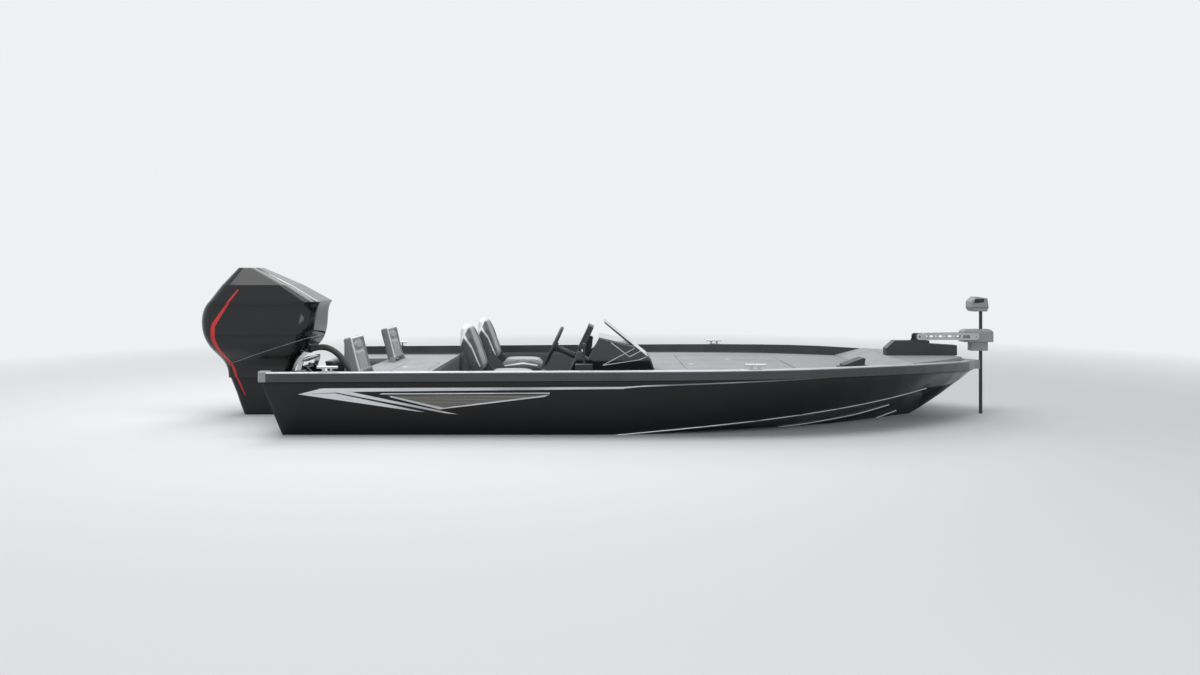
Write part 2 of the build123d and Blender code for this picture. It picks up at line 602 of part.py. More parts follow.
# Steering cylinder lies along the tilt tube, ahead of it
CYL_X, CYL_Z = tpx + 26, tpz + 88
cyl = bar_y(CYL_X, CYL_Z, 20, -130, 130) + bar_y(CYL_X, CYL_Z, 10, -250, 250)
for side in (-1, 1):
    cyl += prism([(CYL_X - 16, CYL_Z + 16), (CYL_X + 16, CYL_Z + 16), (CYL_X + 16, CYL_Z - 16),
                  (tpx + 16, tpz - 14), (tpx - 14, tpz - 14), (tpx - 14, tpz + 14)],
                 side * 215 - 8, side * 215 + 8)
tube_end = CLAMP_Y + CLAMP_T + 8 + SEAT_GAP
cyl += bar_y(tpx, tpz, 10, tube_end, 215) + bar_y(tpx, tpz, 10, -215, -tube_end)
nodes["steering_cylinder"] = cyl

# Cowl: one lofted body, parted on the slanted seam. Columns: z, front x, rear x, half width, corner
COWL = (
    (318.0, -3000.0, -3520.0, 120.0, 60.0),
    (480.0, -2925.0, -3575.0, 152.0, 80.0),
    (600.0, -2815.0, -3640.0, 268.0, 110.0),
    (770.0, -2760.0, -3695.0, 284.0, 120.0),
    (960.0, -2715.0, -3640.0, 268.0, 110.0),
    (1100.0, -2960.0, -3545.0, 215.0, 90.0),
    (1245.0, -3270.0, -3440.0, 110.0, 60.0),
)
COWL_SHOULDER = 5
levels = [rounded_section(front, rear, half, r, z) for z, front, rear, half, r in COWL]
cowl = loft(levels[:COWL_SHOULDER]) + loft(levels[COWL_SHOULDER - 1:], ruled=True)
SEAM = ((-3800.0, 380.0), (-3500.0, 432.0), (-3258.0, 516.0), (-2813.0, 657.0), (-2600.0, 720.0))
SEAM_GAP = 0.6
above = prism([*[(x, z + SEAM_GAP) for x, z in SEAM], (-2600, 1500), (-3800, 1500)], -400, 400)
below = prism([*SEAM, (-2600, 200), (-3800, 200)], -400, 400)
nodes["upper_cowl"] = cowl & above
nodes["lower_cowl"] = cowl & below

# Leg: steering tube and driveshaft housing down to the gearcase. Columns: z, front x, rear x, half width, corner
LEG = (
    (317.0, -3050.0, -3508.0, 100.0, 50.0),
    (180.0, -3095.0, -3460.0, 84.0, 50.0),
    (0.0, -3095.0, -3398.0, 68.0, 40.0),
    (-108.0, -3100.0, -3350.0, 64.0, 40.0),
)
leg_top = loft([rounded_section(*row[1:], row[0]) for row in LEG[:2]])
leg_mid = loft([rounded_section(*row[1:], row[0]) for row in LEG[1:]])
leg = leg_top + leg_mid
leg -= bar_z(STEER_X, 0, 58 + MOVE_GAP, -200, 290 + MOVE_GAP)
leg += bar_z(STEER_X, 0, STEER_TUBE_R, -60, 317)
leg += block(-3140, STEER_X + 10, -45, 45, 290 + MOVE_GAP, 317)
leg += block(-3140, STEER_X, -34, 34, -75, -30 - MOVE_GAP)
leg += block(-3370, -3090, -105, 105, -122, -108)
nodes["outboard_leg"] = leg

# Gearcase: strut, anti-ventilation plate, torpedo, skeg and propeller shaft
strut = loft([rounded_section(-3105, -3345, 52, 30, -122 - SEAT_GAP), rounded_section(-3125, -3330, 34, 20, -300)])
strut += loft([rounded_section(-3125, -3330, 34, 20, -300), rounded_section(-3130, -3330, 28, 16, PROP_Z + 20)])
PROP_AFT_X = -3345.0
NOSE_X = -2985.0
NOSE_STEPS = 6


def nose(x0, x1, radius):
    """Points of a blunt nose from full radius at x0 to the axis at x1."""
    angles = [math.pi / 2 * n / NOSE_STEPS for n in range(NOSE_STEPS + 1)]
    return [(x0 + (x1 - x0) * math.sin(a), radius * math.cos(a)) for a in angles[:-1]] + [(x1, 0)]


def spun(points, z):
    """Solid of revolution about the line along X at height z."""
    return Pos(0, 0, z) * revolve(make_face(Polyline(*points, close=True)), Axis.X)


shaft_end = PROP_AFT_X - PROP_SHAFT_OUT
torpedo = spun([(shaft_end, 0), (shaft_end, PROP_SHAFT_R), (PROP_AFT_X, PROP_SHAFT_R), (PROP_AFT_X, PROP_HUB_R),
                *nose(PROP_AFT_X + 130, NOSE_X, GEARCASE_R)], PROP_Z)
av_plate = plan([(-3590, -60), (-3590, 60), (-3480, 125), (-3250, 120), (-3100, 60), (-3060, 0),
                 (-3100, -60), (-3250, -120), (-3480, -125)], -300, -290)
skeg = prism([(-3120, PROP_Z - 40), (-3235, -745), (-3340, -750), (-3335, PROP_Z - 40)], -8, 8)
nodes["gearcase"] = strut + torpedo + av_plate + skeg


# Blade sections: share of the way out from the hub, pitch angle, share of the chord, thickness
BLADE = ((0.0, 60.0, 0.55, 9.0), (0.45, 48.0, 1.0, 7.0), (1.0, 34.0, 0.5, 3.0))


def propeller(x, z, hub_r, tip_r, length, blades, bore, chord):
    """Hub with twisted blades, centred on (x, 0, z), with its axis along X."""
    solid = bar_x(0, 0, hub_r, -length / 2, length / 2)
    root = hub_r - 6
    sections = [Pos(0, 0, root + (tip_r - root) * out) * Rot(0, 0, pitch) * Rectangle(chord * share, thick)
                for out, pitch, share, thick in BLADE]
    for n in range(blades):
        solid += Rot(360 * n / blades, 0, 0) * loft(sections)
    solid -= bar_x(0, 0, bore, -length, length)
    return Pos(x, 0, z) * solid


nodes["propeller"] = propeller(PROP_AFT_X - MOVE_GAP - 60, PROP_Z, PROP_HUB_R, PROP_R, 120, 3,
                               PROP_SHAFT_R + PIN_GAP, 150)

# Rigging hose from its boot on the cowl to a gland in the splashwell's front wall
HOSE_R = 25.0
BOOT_R = 33.0
HOSE = ((-2795, -150, 563), (-2698.6, -190.5, 553.8), (-2608.3, -228.5, 508.2), (-2523.6, -264.1, 410.0),
        (-2433.2, -302.1, 354.0), (-2356.1, -334.5, 334.0))


def stub(start, toward, radius, length):
    """Short round bar from start, in the direction of toward."""
    start, toward = Vector(*start), Vector(*toward)
    middle = start + (toward - start).normalized() * (length / 2)
    return Plane(origin=middle, z_dir=toward - start) * Cylinder(radius, length)


def beyond(at, before, gap):
    """Point a small gap past at, seen from before."""
    at, before = Vector(*at), Vector(*before)
    return tuple(at + (at - before).normalized() * gap)


def tube(points, radius):
    """Round tube along straight runs joined by tangent arcs as large as the runs allow."""
    corners = [Vector(*p) for p in points]
    radii = []
    for before, at, after in zip(corners, corners[1:], corners[2:]):
        turn = math.radians((at - before).get_angle(after - at))
        radii.append(0.45 * min((at - before).length, (after - at).length) / math.tan(turn / 2))
    path = FilletPolyline(*points, radius=radii)
    print("bend radii", [round(r) for r in radii])
    start = Plane(origin=corners[0], z_dir=corners[1] - corners[0])
    solid = sweep(start * Circle(radius), path=path)
    print("volume ratio", round(solid.volume / (path.length * math.pi * radius ** 2), 4))
    return solid


nodes["rigging_hose"] = tube(HOSE, HOSE_R)
BOOT_LENGTH = 95.0
GLAND_LENGTH = 35.0
boot_start = beyond(HOSE[0], HOSE[1], SEAT_GAP)
nodes["lower_cowl"] += stub(boot_start, beyond(HOSE[0], HOSE[1], 50), BOOT_R, BOOT_LENGTH)
gland_start = beyond(HOSE[-1], HOSE[-2], SEAT_GAP)
nodes["splashwell"] += stub(gland_start, beyond(HOSE[-1], HOSE[-2], 50), BOOT_R, GLAND_LENGTH)

# Trolling motor: base, ladder arms, shaft bracket, shaft with motor, head and propeller
ax, az = ARM_PIVOT
BASE_X = (2060.0, 2660.0)
base_low = bow_z + SEAT_GAP
base = prism([(BASE_X[0], base_low), (BASE_X[1], base_low), (BASE_X[1], 585), (ax + 90, 600),
              (ax + 90, 625), (BASE_X[0] + 70, 625), (BASE_X[0], 560)], -46, 46)
for side in (-1, 1):
    lo, hi = sorted((side * (ARM_Y - MOVE_GAP - 12), side * 40))
    base += prism([(ax - 60, 560), (ax + 60, 560), (ax + 20, az + 22), (ax - 20, az + 22)], lo, hi)
base -= block(ax - 75, ax + 80, -32, 32, 612, 800)
base += bar_y(ax, az, TROLL_PIN_R, -ARM_Y - ARM_T, -40) + bar_y(ax, az, TROLL_PIN_R, 40, ARM_Y + ARM_T)
nodes["trolling_base"] = base

arms = None
ex = ax + ARM_L
WINDOW = 5
for side in (-1, 1):
    lo, hi = sorted((side * ARM_Y, side * (ARM_Y + ARM_T)))
    arm = prism([(ax - 24, az - 18), (ax - 8, az - 28), (ex + 8, az - 28), (ex + 24, az - 10), (ex + 20, az + 30),
                 (ax - 6, az + 24), (ax - 24, az + 14)], lo, hi)
    pitch = (ARM_L - 90) / WINDOW
    for n in range(WINDOW):
        start = ax + 45 + n * pitch
        arm -= block(start + 9, start + pitch - 9, lo - 1, hi + 1, az - 14, az + 12)
    arm -= bar_y(ax, az, TROLL_PIN_R + PIN_GAP, lo - 1, hi + 1)
    arm -= bar_y(ex, az, TROLL_PIN_R + PIN_GAP, lo - 1, hi + 1)
    arms = arm if arms is None else arms + arm
arms += block(ax + 60, ax + 84, -ARM_Y - 1, ARM_Y + 1, az + 12, az + 20)
nodes["trolling_arms"] = arms

# Shaft bracket at the arms' ends: a rounded housing with a bore for the shaft
housing_x = (ex - 100.0, ex + 150.0)
inner_half = ARM_Y - MOVE_GAP
housing = block(*housing_x, -inner_half, inner_half, az - 47, az + 62)
housing = fillet(housing.faces().sort_by(Axis.Z)[-1].edges(), 34)
housing += block(ex - 30, ex + 110, -40, 40, az - 122, az - 40)
housing += bar_y(ex, az, TROLL_PIN_R, -ARM_Y - ARM_T, ARM_Y + ARM_T)
housing -= bar_z(TROLL_SHAFT_X, 0, TROLL_SHAFT_R + PIN_GAP, 0, 900)
nodes["trolling_bracket"] = housing

shaft = bar_z(TROLL_SHAFT_X, 0, TROLL_SHAFT_R, TROLL_MOTOR_Z + 20, 880)
motor_back = TROLL_SHAFT_X - 150
axle_end = motor_back - TROLL_AXLE_OUT
shaft += spun([(axle_end, 0), (axle_end, TROLL_AXLE_R), (motor_back, TROLL_AXLE_R), (motor_back, TROLL_MOTOR_R),
               *nose(motor_back + 250, motor_back + 330, TROLL_MOTOR_R)], TROLL_MOTOR_Z)
shaft += prism([(TROLL_SHAFT_X - 30, TROLL_MOTOR_Z - 30), (TROLL_SHAFT_X - 90, TROLL_MOTOR_Z - 150),
                (TROLL_SHAFT_X - 110, TROLL_MOTOR_Z - 150), (TROLL_SHAFT_X - 120, TROLL_MOTOR_Z - 30)], -4, 4)
nodes["trolling_shaft"] = shaft

head = prism([(TROLL_SHAFT_X - 105, 900), (TROLL_SHAFT_X - 85, 873), (TROLL_SHAFT_X + 30, 873),
              (TROLL_SHAFT_X + 45, 905), (TROLL_SHAFT_X + 35, 985), (TROLL_SHAFT_X - 60, 1000),
              (TROLL_SHAFT_X - 105, 960)], -62, 62)
head = fillet(head.edges(), 9)
head -= bar_z(TROLL_SHAFT_X, 0, TROLL_SHAFT_R + SEAT_GAP, 860, 880 + SEAT_GAP)
nodes["trolling_head"] = head
nodes["trolling_propeller"] = propeller(motor_back - MOVE_GAP - 22, TROLL_MOTOR_Z, 30, TROLL_PROP_R, 44, 2,
                                        TROLL_AXLE_R + PIN_GAP, 70)

os.makedirs("parts", exist_ok=True)
for name, solid in nodes.items():
    export_step(solid, "parts/" + name + ".step")
print(len(nodes), "nodes")
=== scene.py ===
# %% [markdown]
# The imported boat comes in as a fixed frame: every piece is already in its place, in metres,
# with +X to the bow, +Y to port and z = 0 at the waterline. The looks are built around it.

# %% Load the frame
import json
import math
import bmesh
import bpy
from mathutils import Matrix, Vector


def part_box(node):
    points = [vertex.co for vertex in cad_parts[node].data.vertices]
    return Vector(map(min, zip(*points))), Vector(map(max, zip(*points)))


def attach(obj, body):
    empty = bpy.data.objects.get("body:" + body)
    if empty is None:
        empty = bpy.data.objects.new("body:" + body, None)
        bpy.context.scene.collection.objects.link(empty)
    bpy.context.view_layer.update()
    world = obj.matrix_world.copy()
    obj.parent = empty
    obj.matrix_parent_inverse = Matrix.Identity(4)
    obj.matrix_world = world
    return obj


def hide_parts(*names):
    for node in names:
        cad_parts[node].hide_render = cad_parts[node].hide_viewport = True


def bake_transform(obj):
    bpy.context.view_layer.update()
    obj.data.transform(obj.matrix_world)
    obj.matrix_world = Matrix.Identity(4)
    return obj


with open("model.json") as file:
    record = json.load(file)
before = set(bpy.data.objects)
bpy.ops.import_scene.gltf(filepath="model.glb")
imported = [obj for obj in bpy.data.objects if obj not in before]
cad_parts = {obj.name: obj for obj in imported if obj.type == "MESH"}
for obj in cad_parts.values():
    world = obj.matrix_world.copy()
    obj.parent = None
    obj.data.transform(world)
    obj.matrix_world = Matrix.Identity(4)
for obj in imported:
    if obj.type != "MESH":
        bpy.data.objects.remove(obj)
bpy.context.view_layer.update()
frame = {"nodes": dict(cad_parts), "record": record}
nodes = frame["nodes"]

# %% [markdown]
# The camera stands where the photographer's stood: level, to starboard and a little aft of
# amidships. A small downward shift keeps upright edges upright, as a tilted camera wouldn't.

# %% Camera
PHOTO_W = 1200
FOCAL_PX = 877.0
HORIZON_ABOVE_MIDDLE_PX = 64.5
CAMERA_PLACE = (-0.375, -7.5, 1.2)

camera_data = bpy.data.cameras.new("camera")
camera_data.sensor_width = 36.0
camera_data.lens = camera_data.sensor_width * FOCAL_PX / PHOTO_W
camera_data.shift_y = -HORIZON_ABOVE_MIDDLE_PX / PHOTO_W
camera = bpy.data.objects.new("camera", camera_data)
camera.location = CAMERA_PLACE
camera.rotation_euler = (math.radians(90), 0, 0)
bpy.context.scene.collection.objects.link(camera)
bpy.context.scene.camera = camera
print("lens", round(camera_data.lens, 2), "mm")

# %% [markdown]
# Hoses, and the beads that paint the hull's highlights, are round bars along a smooth line. A NURBS
# curve needs only a few control points for that, and its bevel gives the bar. Where a piece has to
# bend with a joint, the same tube is made a closed mesh.

# %% Round bars along a line
ROUND_STEPS, LENGTH_STEPS, CURVE_ORDER = 5, 12, 3
WELD = 1e-5


def smooth_curve(name, points, radius):
    """A round tube on a NURBS curve with the given control points. Its radius sits on the points,
    so that the object's box is as large as the tube and no larger."""
    data = bpy.data.curves.new(name, "CURVE")
    data.dimensions = "3D"
    data.bevel_depth = 1.0 if radius else 0.0
    data.bevel_resolution = ROUND_STEPS
    data.use_fill_caps = True
    data.resolution_u = LENGTH_STEPS
    spline = data.splines.new("NURBS")
    spline.points.add(len(points) - 1)
    for point, place in zip(spline.points, points):
        point.co = (*place, 1)
        point.radius = radius
    spline.order_u = CURVE_ORDER
    spline.use_endpoint_u = True
    made = bpy.data.objects.new(name, data)
    bpy.context.scene.collection.objects.link(made)
    return made


def smooth_line(points):
    """Places along the smooth line of the given control points, read from a curve with no bevel."""
    bare = smooth_curve("bare_line", points, 0.0)
    places = [vertex.co.copy() for vertex in bpy.data.meshes.new_from_object(bare).vertices]
    bpy.data.objects.remove(bare)
    return places


def tube_mesh(name, points, radius):
    """The same round tube as a closed mesh."""
    route = smooth_curve(name + "_route", points, radius)
    data = bpy.data.meshes.new_from_object(route)
    bpy.data.objects.remove(route)
    made = bmesh.new()
    made.from_mesh(data)
    bmesh.ops.remove_doubles(made, verts=made.verts, dist=WELD)
    bmesh.ops.recalc_face_normals(made, faces=made.faces)
    made.to_mesh(data)
    made.free()
    for face in data.polygons:
        face.use_smooth = True
    tube = bpy.data.objects.new(name, data)
    bpy.context.scene.collection.objects.link(tube)
    return tube


# %% [markdown]
# The rigging hose is a thick sleeve over the motor's cables. It leaves the cowl level, arches over
# the transom and drops into the well, so control points on that arch give the even, stiff bend that
# a real sleeve has. Its upper end goes with the motor as it tilts and its lower end stays in the
# well.

# %% Rigging hose
HOSE_DIAMETER = 0.05
HOSE_ROUTE = ((-2.795, -0.150, 0.563), (-2.715, -0.170, 0.585), (-2.620, -0.205, 0.575),
              (-2.525, -0.250, 0.520), (-2.450, -0.290, 0.430), (-2.356, -0.3345, 0.334))

hose = tube_mesh("rigging_hose_sleeve", HOSE_ROUTE, HOSE_DIAMETER / 2)
hose_line = smooth_line(HOSE_ROUTE)
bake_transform(hose)
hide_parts("rigging_hose")

# %% [markdown]
# Dark gloss paint shows its shape by what it reflects. A pale floor at the waterline and four
# broad lamps give long soft highlights along the sides, as an overcast sky does. An area lamp is
# used for each, because its size sets how soft the highlight and the shadow are.

# %% Lamps
bpy.context.scene.view_settings.view_transform = "Standard"
LAMPS = (
    # name, place, aims at, length, width, power
    ("sky", (-1.2, -1.6, 5.6), (-1.2, 0.2, 0.3), 8.5, 3.0, 220),
    ("front", (0.0, -8.0, 4.0), (0, 0, 0.3), 5.0, 2.0, 90),
    ("rim", (-1.0, 5.5, 4.5), (0, 0, 0.5), 6.0, 2.0, 100),
    ("stern", (-3.6, 1.5, 5.0), (-3.0, 0.0, 1.0), 3.4, 2.6, 120),
)
for name, place, target, length, width, power in LAMPS:
    data = bpy.data.lights.new(name, "AREA")
    data.shape = "RECTANGLE"
    data.size = length
    data.size_y = width
    data.energy = power
    lamp = bpy.data.objects.new(name, data)
    lamp.location = place
    lamp.rotation_euler = (Vector(target) - Vector(place)).to_track_quat("-Z", "Y").to_euler()
    bpy.context.scene.collection.objects.link(lamp)
print("lamps", len(LAMPS), "of", sum(row[-1] for row in LAMPS), "W together")

# %% [markdown]
# The world is the backdrop. It is brighter to the camera, in metal and through glass than it is as
# a light, so that the picture is pale around the boat while the boat keeps its contrast. The Light
# Path node says which kind of ray is asking.

# %% World
WORLD_COLOUR = (0.86, 0.88, 0.90, 1)
WORLD_LIGHT = 0.5
world = bpy.data.worlds.new("studio")
bpy.context.scene.world = world
world.use_nodes = True
background = world.node_tree.nodes["Background"]
background.inputs["Color"].default_value = WORLD_COLOUR


def tree(made):
    """The nodes and the links of a material or a world."""
    return made.node_tree.nodes, made.node_tree.links


def seen_rays(made):
    """1 for a ray that shows the backdrop itself, in the camera, in metal or through glass."""
    all_nodes, links = tree(made)
    path = all_nodes.new("ShaderNodeLightPath")
    seen = path.outputs["Is Camera Ray"]
    for kind in ("Is Transmission Ray", "Is Glossy Ray"):
        either = all_nodes.new("ShaderNodeMath")
        either.operation = "MAXIMUM"
        links.new(seen, either.inputs[0])
        links.new(path.outputs[kind], either.inputs[1])
        seen = either.outputs[0]
    return seen


strength = world.node_tree.nodes.new("ShaderNodeMapRange")
strength.inputs["To Min"].default_value = WORLD_LIGHT
strength.inputs["To Max"].default_value = 1.0
world.node_tree.links.new(seen_rays(world), strength.inputs["Value"])
world.node_tree.links.new(strength.outputs[0], background.inputs["Strength"])
print("world lights at", WORLD_LIGHT, "and shows at 1")

# %% [markdown]
# Every finish is a node material that reads Object coordinates, so a pattern has its real size
# and stays on its piece. One helper makes the shader and its coordinates, and another splits a
# place or a direction into its three parts.

# %% Shader and coordinates
COAT_ROUGHNESS = 0.06


def material(name, colour, roughness, metallic=0.0, coat=0.0, specular=0.5):
    """A material with one shader and Object coordinates."""
    made = bpy.data.materials.new(name)
    made.use_nodes = True
    shader = made.node_tree.nodes["Principled BSDF"]
    shader.inputs["Base Color"].default_value = (*colour, 1)
    shader.inputs["Roughness"].default_value = roughness
    shader.inputs["Metallic"].default_value = metallic
    shader.inputs["Coat Weight"].default_value = coat
    shader.inputs["Coat Roughness"].default_value = COAT_ROUGHNESS
    shader.inputs["Specular IOR Level"].default_value = specular
    where = made.node_tree.nodes.new("ShaderNodeTexCoord")
    where.name = "where"
    return made


def xyz_of(made, vector):
    """The X, Y and Z of a vector: "Object" is the point, "Normal" the way its face points."""
    all_nodes, links = tree(made)
    split = all_nodes.new("ShaderNodeSeparateXYZ")
    links.new(all_nodes["where"].outputs[vector] if isinstance(vector, str) else vector, split.inputs[0])
    return split.outputs


# %% [markdown]
# A node graph is easier to read as a sentence. Each of these helpers adds one node, sets it and
# returns its socket, so a finish is written as what feeds what.

# %% Pattern helpers
def noise(made, scale, detail=4.0, stretch=(1, 1, 1)):
    """A noise pattern of the given scale per metre; returns its value socket."""
    all_nodes, links = tree(made)
    mapping = all_nodes.new("ShaderNodeMapping")
    mapping.inputs["Scale"].default_value = stretch
    links.new(all_nodes["where"].outputs["Object"], mapping.inputs["Vector"])
    texture = all_nodes.new("ShaderNodeTexNoise")
    texture.inputs["Scale"].default_value = scale
    texture.inputs["Detail"].default_value = detail
    links.new(mapping.outputs[0], texture.inputs["Vector"])
    return texture.outputs["Fac"]


def spread(made, value, low, high, from_low=0.3, from_high=0.7):
    """Maps a pattern onto a range."""
    all_nodes, links = tree(made)
    ramp = all_nodes.new("ShaderNodeMapRange")
    ramp.inputs["From Min"].default_value = from_low
    ramp.inputs["From Max"].default_value = from_high
    ramp.inputs["To Min"].default_value = low
    ramp.inputs["To Max"].default_value = high
    links.new(value, ramp.inputs["Value"])
    return ramp.outputs[0]


def mixed(made, factor, first, second):
    """A colour between two colours or sockets."""
    all_nodes, links = tree(made)
    mix = all_nodes.new("ShaderNodeMix")
    mix.data_type = "RGBA"
    links.new(factor, mix.inputs["Factor"])
    for socket, value in ((mix.inputs["A"], first), (mix.inputs["B"], second)):
        if isinstance(value, tuple):
            socket.default_value = (*value, 1)
        else:
            links.new(value, socket)
    return mix.outputs["Result"]


def times(made, first, second):
    """One pattern times another."""
    all_nodes, links = tree(made)
    product = all_nodes.new("ShaderNodeMath")
    product.operation = "MULTIPLY"
    links.new(first, product.inputs[0])
    links.new(second, product.inputs[1])
    return product.outputs[0]


# %% [markdown]
# Relief too fine to model, such as carpet pile, the peel of paint and the small radius of a moulded
# edge, is left to the shading: bump bends the light by a height pattern, and a Bevel node rounds
# the edges. The shape itself stays as it was made.

# %% Relief and grain
EDGE_SAMPLES = 6
WEAR_SCALE = 6.0
WEAR_SMOOTH, WEAR_ROUGH = 0.85, 1.2


def bumped(made, height, strength, distance):
    """Adds bump from a height pattern to the shader."""
    all_nodes, links = tree(made)
    bump = all_nodes.new("ShaderNodeBump")
    bump.inputs["Strength"].default_value = strength
    bump.inputs["Distance"].default_value = distance
    links.new(height, bump.inputs["Height"])
    links.new(bump.outputs[0], all_nodes["Principled BSDF"].inputs["Normal"])


def rounded(made, radius):
    """Rounds the shading over every edge, as paint and moulding do."""
    all_nodes, links = tree(made)
    edge = all_nodes.new("ShaderNodeBevel")
    edge.samples = EDGE_SAMPLES
    edge.inputs["Radius"].default_value = radius
    links.new(edge.outputs[0], all_nodes["Bump"].inputs["Normal"])


def grained(name, colour, other, roughness, scale, bump, depth, metallic, coat, specular=0.5):
    """A surface with grain in its colour, roughness and height."""
    made = material(name, colour, roughness, metallic, coat, specular)
    all_nodes, links = tree(made)
    shader = all_nodes["Principled BSDF"]
    fine = noise(made, scale)
    broad = noise(made, WEAR_SCALE)
    tone = mixed(made, spread(made, fine, 0, 1), colour, other)
    worn = mixed(made, spread(made, broad, 0, 0.5), tone, other)
    links.new(worn, shader.inputs["Base Color"])
    duller = min(1.0, roughness * WEAR_ROUGH)
    links.new(spread(made, broad, roughness * WEAR_SMOOTH, duller), shader.inputs["Roughness"])
    bumped(made, fine, bump, depth)
    return made


# %% [markdown]
# The stripes on a hull like this are cut vinyl. Each is a flat polygon seen from the side, so the
# paint's shader can hold them: a point is in a polygon when it is on the inner side of all its
# edges. That keeps their ends sharp at any zoom, with no image. The plates' inner faces, which point
# to the centre plane, stay plain.

# %% Hull paint with its stripes
HULL_BLACK = (0.006, 0.0063, 0.007)
SILVER_DARK = (0.22, 0.23, 0.25)
SILVER_LIGHT = (0.78, 0.79, 0.81)
COMB_BROWN = (0.10, 0.095, 0.085)
INNER_GREY = (0.035, 0.036, 0.039)
FLAKE_PALE, FLAKE_SCALE = (0.022, 0.023, 0.026), 900.0
COMB_PALE, COMB_SCALE = (0.24, 0.23, 0.21), 90.0
SHEEN_SCALE, DULL_SCALE, RIPPLE_SCALE = 1.2, 5.0, 260.0
PLATE_ROUND = 0.05
STRIPES = (
    # corners (x, z), clockwise as seen from starboard, each convex
    ((-2.57, 0.318), (-2.40, 0.361), (-2.20, 0.352), (-2.30, 0.331)),
    ((-2.42, 0.359), (-2.38, 0.364), (-0.20, 0.378), (-0.20, 0.362), (-2.30, 0.336)),
    ((-0.22, 0.377), (-0.03, 0.389), (-0.02, 0.384), (-0.22, 0.363)),
    ((-2.57, 0.318), (-2.30, 0.326), (-1.66, 0.182), (-1.72, 0.186)),
    ((-2.32, 0.338), (-2.18, 0.336), (-1.42, 0.164), (-1.50, 0.170)),
    ((-0.16, 0.374), (-0.06, 0.389), (1.70, 0.452), (1.70, 0.446)),
    ((-1.98, 0.318), (-1.96, 0.326), (-0.74, 0.333), (-0.74, 0.324)),
    ((-1.90, 0.297), (-1.90, 0.306), (-1.50, 0.210), (-1.55, 0.202)),
    ((-1.55, 0.202), (-1.52, 0.214), (-0.74, 0.318), (-0.78, 0.300)),
)
INFILL = ((-1.93, 0.308), (-0.78, 0.316), (-1.54, 0.208))


def polygon_mask(made, corners, x, z, soft=0.0012):
    """1 inside a convex polygon of the X-Z plane."""
    all_nodes, links = tree(made)
    inside = None
    for (x0, z0), (x1, z1) in zip(corners, corners[1:] + corners[:1]):
        length = math.hypot(x1 - x0, z1 - z0)
        a, b = (z1 - z0) / length, -(x1 - x0) / length
        along = all_nodes.new("ShaderNodeMath")
        along.operation = "MULTIPLY_ADD"
        links.new(x, along.inputs[0])
        along.inputs[1].default_value = a
        along.inputs[2].default_value = -a * x0 - b * z0
        across = all_nodes.new("ShaderNodeMath")
        across.operation = "MULTIPLY_ADD"
        links.new(z, across.inputs[0])
        across.inputs[1].default_value = b
        links.new(along.outputs[0], across.inputs[2])
        edge = spread(made, across.outputs[0], 0, 1, -soft, soft)
        inside = edge if inside is None else times(made, inside, edge)
    return inside


def hull_paint():
    """Black paint with a fine flake, the stripes, and a comb pattern between them."""
    made = material("hull_paint", HULL_BLACK, 0.22, coat=0.15, specular=0.25)
    all_nodes, links = tree(made)
    shader = all_nodes["Principled BSDF"]
    x, y, z = xyz_of(made, "Object")
    flakes = spread(made, noise(made, FLAKE_SCALE), 0, 1, 0.55, 0.8)
    colour = mixed(made, flakes, HULL_BLACK, FLAKE_PALE)
    cells = all_nodes.new("ShaderNodeTexVoronoi")
    cells.feature = "DISTANCE_TO_EDGE"
    cells.inputs["Scale"].default_value = COMB_SCALE
    cells.inputs["Randomness"].default_value = 0.0
    links.new(all_nodes["where"].outputs["Object"], cells.inputs["Vector"])
    comb = mixed(made, spread(made, cells.outputs["Distance"], 0, 1, 0.05, 0.16), COMB_PALE, COMB_BROWN)
    colour = mixed(made, polygon_mask(made, INFILL, x, z), colour, comb)
    glint = spread(made, noise(made, SHEEN_SCALE, 1.0), 0, 1, 0.4, 0.6)
    sheen = mixed(made, glint, SILVER_LIGHT, SILVER_DARK)
    for corners in STRIPES:
        colour = mixed(made, polygon_mask(made, corners, x, z), colour, sheen)
    outside = spread(made, times(made, xyz_of(made, "Normal")[1], y), 0, 1, -0.02, 0.02)
    links.new(mixed(made, outside, INNER_GREY, colour), shader.inputs["Base Color"])
    links.new(spread(made, noise(made, DULL_SCALE), 0.17, 0.27), shader.inputs["Roughness"])
    bumped(made, noise(made, RIPPLE_SCALE, 2.0), 0.04, 0.0003)
    rounded(made, PLATE_ROUND)
    return made


finishes = {"hull_paint": hull_paint()}
print("hull paint with", len(STRIPES), "stripes")

# %% [markdown]
# The rest of the finishes, each from the same helper: the deck's grey marine carpet, the moulded
# plastics, seat vinyl, cast and drawn metals, and rubber. A table keeps them side by side, where it
# is easy to see that the carpet is the dullest and the paint the glossiest. Moulded and painted
# pieces also have their edges rounded in the shading, since no real edge is quite sharp.

